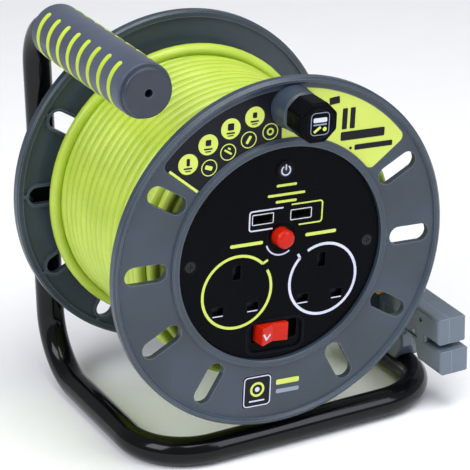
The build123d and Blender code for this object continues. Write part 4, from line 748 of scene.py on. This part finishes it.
# %% [markdown]
# The flange's two labels are vinyl. The dark one has a row of lime discs over a row of outlined ones,
# set round the drum at even angles, each with a plain symbol, and one rule. The lime one has heavy
# dark bars, drawn here as plain rounded boxes.

# %% Label printing
LABEL_DEPTH = (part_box("label_dark")[0].y - RIM_Y) / MM
LABEL_ICONS = 4
DISC_ROW_R, DISC_START, DISC_STEP = 86.9, 134.7, 10.2
RING_ROW_R, RING_START, RING_STEP = 75.4, 129.6, 10.4
DISC_R = 6.0
RING_R, RING_HOLE_R = 4.9, 4.35
SYMBOL_SIZES = ((2.0, 4.2), (3.4, 3.4), (3.8, 4.0), (2.6, 3.2))


def round_drum(angle, radius):
    """Right and up of a place on the drum, from its angle in degrees and its distance from the axle."""
    return radius * math.cos(math.radians(angle)), radius * math.sin(math.radians(angle))


for number in range(LABEL_ICONS):
    x, up = round_drum(DISC_START - DISC_STEP * number, DISC_ROW_R)
    printed(f"label_disc_{number + 1}", [disc(x, up, DISC_R)], LABEL_DEPTH, lime_print)
    symbol_width, symbol_height = SYMBOL_SIZES[number]
    marks = [
        rounded_box(x, up + 1.1, symbol_width, symbol_height, 0.6),
        rounded_box(x, up - 2.5, 5.2, 0.9, 0.4),
        rounded_box(x, up - 4.0, 3.6, 0.6, 0.28),
    ]
    printed(f"label_disc_mark_{number + 1}", marks, LABEL_DEPTH - FILM, black_print)
for number in range(LABEL_ICONS):
    x, up = round_drum(RING_START - RING_STEP * number, RING_ROW_R)
    rings = [disc(x, up, RING_R), disc(x, up, RING_HOLE_R)]
    printed(f"label_ring_{number + 1}", rings, LABEL_DEPTH, lime_print)
    marks = [
        [rounded_box(x - 0.3, up, 4.6, 2.4, 0.7, -18)],
        [rounded_box(x, up, 5.4, 1.1, 0.5, -32), rounded_box(x + 0.6, up + 1.9, 1.9, 1.0, 0.4, -32)],
        [rounded_box(x, up, 1.7, 5.0, 0.6, -30)],
        [disc(x, up, 2.2, 24), disc(x, up, 1.2, 18)],
    ][number]
    printed(f"label_ring_mark_{number + 1}", marks, LABEL_DEPTH, lime_print)
rule = stroke([(-72.4, 59.0), (-54.6, 44.9)], 1.5)
printed("label_rule", [rule], LABEL_DEPTH, lime_print)

lime_bars = (
    rounded_box(29.0, 88.0, 6.6, 4.2, 0.5, 6),
    rounded_box(36.3, 76.4, 3.2, 12.4, 0.5),
    rounded_box(41.4, 76.4, 3.2, 12.4, 0.5),
    rounded_box(48.6, 66.0, 28.6, 5.2, 0.8),
    rounded_box(41.2, 58.4, 1.6, 1.6, 0.5),
    rounded_box(56.2, 58.5, 24.8, 3.2, 0.7),
)
for number, outline in enumerate(lime_bars):
    printed(f"label_bar_{number + 1}", [outline], LABEL_DEPTH, black_print)

# %% [markdown]
# The badge is a dark rounded square with a pale outline and a plain ring and dot for a mark, and two
# short rules are printed on the flange beside it. The knob's cap gets an outline of the same shape, so
# that the two belong together, and its printing lies in the cap's shallow dish.

# %% Badges
BADGE_DEPTH = (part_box("badge")[0].y - RIM_Y) / MM
BADGE_X, BADGE_UP = -11.0, -83.5
RING_CENTRE_UP = BADGE_UP + 1.2
badge_edge = [
    rounded_box(BADGE_X, BADGE_UP, 17.6, 19.0, 2.6), rounded_box(BADGE_X, BADGE_UP, 16.3, 17.7, 2.0),
]
printed("badge_outline", badge_edge, BADGE_DEPTH, pale_ink)
badge_rings = [disc(BADGE_X, RING_CENTRE_UP, 4.6), disc(BADGE_X, RING_CENTRE_UP, 3.2)]
printed("badge_ring", badge_rings, BADGE_DEPTH, lime_print)
printed("badge_dot", [disc(BADGE_X, RING_CENTRE_UP, 1.5)], BADGE_DEPTH, pale_ink)
printed("badge_rule", [rounded_box(BADGE_X, BADGE_UP - 6.0, 10.0, 0.9, 0.4)], BADGE_DEPTH, pale_ink)
WEB_DEPTH = 2.2
printed("flange_rule_lime", [rounded_box(8.9, -80.2, 15.0, 3.2, 0.9)], WEB_DEPTH, lime_print)
printed("flange_rule_grey", [rounded_box(9.1, -86.0, 15.0, 2.6, 0.8)], WEB_DEPTH, grey_ink)

CAP_DISH = 0.3
CAP_DEPTH = (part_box("knob_cap")[0].y - RIM_Y) / MM + CAP_DISH
CAP_X, CAP_UP = 1.54, 87.99
cap_edge = [rounded_box(CAP_X, CAP_UP, 11.6, 13.0, 2.6), rounded_box(CAP_X, CAP_UP, 10.8, 12.2, 2.2)]
printed("cap_outline", cap_edge, CAP_DEPTH, grey_ink, body="knob")
printed("cap_bar_pale", [rounded_box(CAP_X, CAP_UP + 2.2, 8.4, 2.6, 0.7)], CAP_DEPTH, pale_ink, body="knob")
printed("cap_bar_thin", [rounded_box(CAP_X, CAP_UP - 0.4, 8.4, 0.8, 0.3)], CAP_DEPTH, grey_ink, body="knob")
cap_slash = stroke([(CAP_X - 3.6, CAP_UP - 4.6), (CAP_X + 0.4, CAP_UP - 1.8)], 1.4)
printed("cap_slash_lime", [cap_slash], CAP_DEPTH, lime_print, body="knob")
printed("cap_dot_lime", [disc(CAP_X + 3.0, CAP_UP - 3.2, 1.2, 24)], CAP_DEPTH, lime_print, body="knob")

# %% [markdown]
# ## Softer edges
# A mould can't make a knife edge, and a finger wouldn't like one. The rocker's wedge comes from the
# frame with true edges, so a copy is merged, its flat triangles are dissolved back into whole faces,
# and a bevel rounds every sharp edge before it takes the wedge's place.


# %% Ease the rocker's edges
EDGE_ROUND = 0.9
bpy.ops.object.select_all(action="DESELECT")
rocker_cap = nodes["rocker"].copy()
rocker_cap.data = nodes["rocker"].data.copy()
for key in list(rocker_cap.keys()):
    del rocker_cap[key]
rocker_cap.name = "rocker_eased"
rocker_cap.parent = None
bpy.context.scene.collection.objects.link(rocker_cap)
rocker_cap.select_set(True)
bpy.context.view_layer.objects.active = rocker_cap
bpy.ops.object.mode_set(mode="EDIT")
bpy.ops.mesh.select_all(action="SELECT")
bpy.ops.mesh.remove_doubles(threshold=0.01 * MM)
bpy.ops.mesh.dissolve_limited(angle_limit=math.radians(1))
bpy.ops.object.mode_set(mode="OBJECT")
bevel = rocker_cap.modifiers.new("edge_round", "BEVEL")
bevel.width = EDGE_ROUND * MM
bevel.segments = 4
bevel.limit_method = "ANGLE"
bevel.angle_limit = math.radians(25)
bpy.ops.object.modifier_apply(modifier=bevel.name)
bpy.ops.object.shade_smooth_by_angle(angle=math.radians(35))
rocker_cap.data.materials.clear()
rocker_cap.data.materials.append(red_abs)
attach(rocker_cap, "rocker")
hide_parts("rocker")
print(rocker_cap.name, len(rocker_cap.data.polygons), "faces")

# %% [markdown]
# The tick on the rocker is painted into its left wing. It is a flat stroke cut into short strips, let
# fall onto the wing along the drum's axle by a Shrinkwrap, and given a coat's thickness by a Solidify.

# %% The rocker's tick
TICK = [(-11.0, -46.0), (-8.7, -49.9), (-5.2, -47.8)]
TICK_W = 1.1
START_AHEAD = 2
PAINT_LIFT = 0.06
PAINT_THICKNESS = 0.12
tick_start = (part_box("rocker")[0].y - RIM_Y) / MM - START_AHEAD
tick = printed("rocker_tick", [stroke(TICK, TICK_W)], tick_start, pale_ink, body="rocker", film=0)
bpy.ops.object.mode_set(mode="EDIT")
bpy.ops.mesh.select_all(action="SELECT")
bpy.ops.mesh.quads_convert_to_tris()
bpy.ops.mesh.subdivide(number_cuts=5)
bpy.ops.object.mode_set(mode="OBJECT")
drop = tick.modifiers.new("drop_on_rocker", "SHRINKWRAP")
drop.target = rocker_cap
drop.wrap_method = "PROJECT"
drop.use_project_y = True
drop.use_positive_direction = True
drop.use_negative_direction = True
drop.offset = PAINT_LIFT * MM
bpy.ops.object.modifier_apply(modifier=drop.name)
coat = tick.modifiers.new("coat_of_paint", "SOLIDIFY")
coat.thickness = PAINT_THICKNESS * MM
coat.offset = 0
bpy.ops.object.modifier_apply(modifier=coat.name)
print("the tick has", len(tick.data.polygons), "faces once it is painted on")

# %% [markdown]
# ## Floor, light and room
# A pale sweep of paper under soft light: a large softbox overhead, one at the front left and a tall
# narrow one at the right for the long highlights along the tube. The room itself is a pale grey, which
# is what the gloss surfaces show between the softboxes.

# %% Floor and lights
paper, paper_tree, paper_place = start_material("matt_backdrop_paper")
fibres = noise(paper_tree, paper_place, 40, 2)
finish_material(paper_tree, add_node(
    paper_tree, "BsdfPrincipled",
    {"Base Color": mixed(paper_tree, fibres, "#fbfbfb", "#ffffff"), "Roughness": 0.9},
))
bpy.ops.object.select_all(action="DESELECT")
FLOOR_SIZE = 12
FLOOR_BACK = 2
FLOOR_DROP = 0.0002
bpy.ops.mesh.primitive_plane_add(size=FLOOR_SIZE, location=(0, FLOOR_BACK, -FLOOR_DROP))
floor = bpy.context.object
floor.name = "floor"
floor.data.materials.append(paper)


LIGHTS_AIM = reel_point(0, 60, 0)


def softbox(name, azimuth, elevation, distance, width, height, power, tint="#ffffff"):
    """An area light, sized and placed in metres, that looks at the reel from that side in degrees."""
    light = bpy.data.lights.new(name, "AREA")
    light.shape = "RECTANGLE"
    light.size = width
    light.size_y = height
    light.energy = power
    light.color = linear(tint)[:3]
    lamp = bpy.data.objects.new(name, light)
    bpy.context.scene.collection.objects.link(lamp)
    a, e = math.radians(azimuth), math.radians(elevation)
    offset = Vector((math.sin(a) * math.cos(e), -math.cos(a) * math.cos(e), math.sin(e)))
    lamp.location = LIGHTS_AIM + offset * distance
    lamp.rotation_euler = offset.to_track_quat("Z", "Y").to_euler()


softbox("overhead_softbox", 10, 72, distance=1.5, width=1.2, height=0.8, power=17)
softbox("front_left_softbox", -75, 38, distance=1.6, width=0.7, height=0.9, power=13, tint="#f4f7ff")
softbox("front_right_strip", 30, 32, distance=1.5, width=0.5, height=1.0, power=7, tint="#eef3ff")

ROOM_BRIGHTNESS = 0.42
world = bpy.data.worlds.new("pale_room")
bpy.context.scene.world = world
world.use_nodes = True
background = world.node_tree.nodes["Background"]
background.inputs["Color"].default_value = linear("#eef1f6")
background.inputs["Strength"].default_value = ROOM_BRIGHTNESS
bpy.context.scene.view_settings.view_transform = "Standard"
print(len(bpy.data.lights), "softboxes and a pale room")
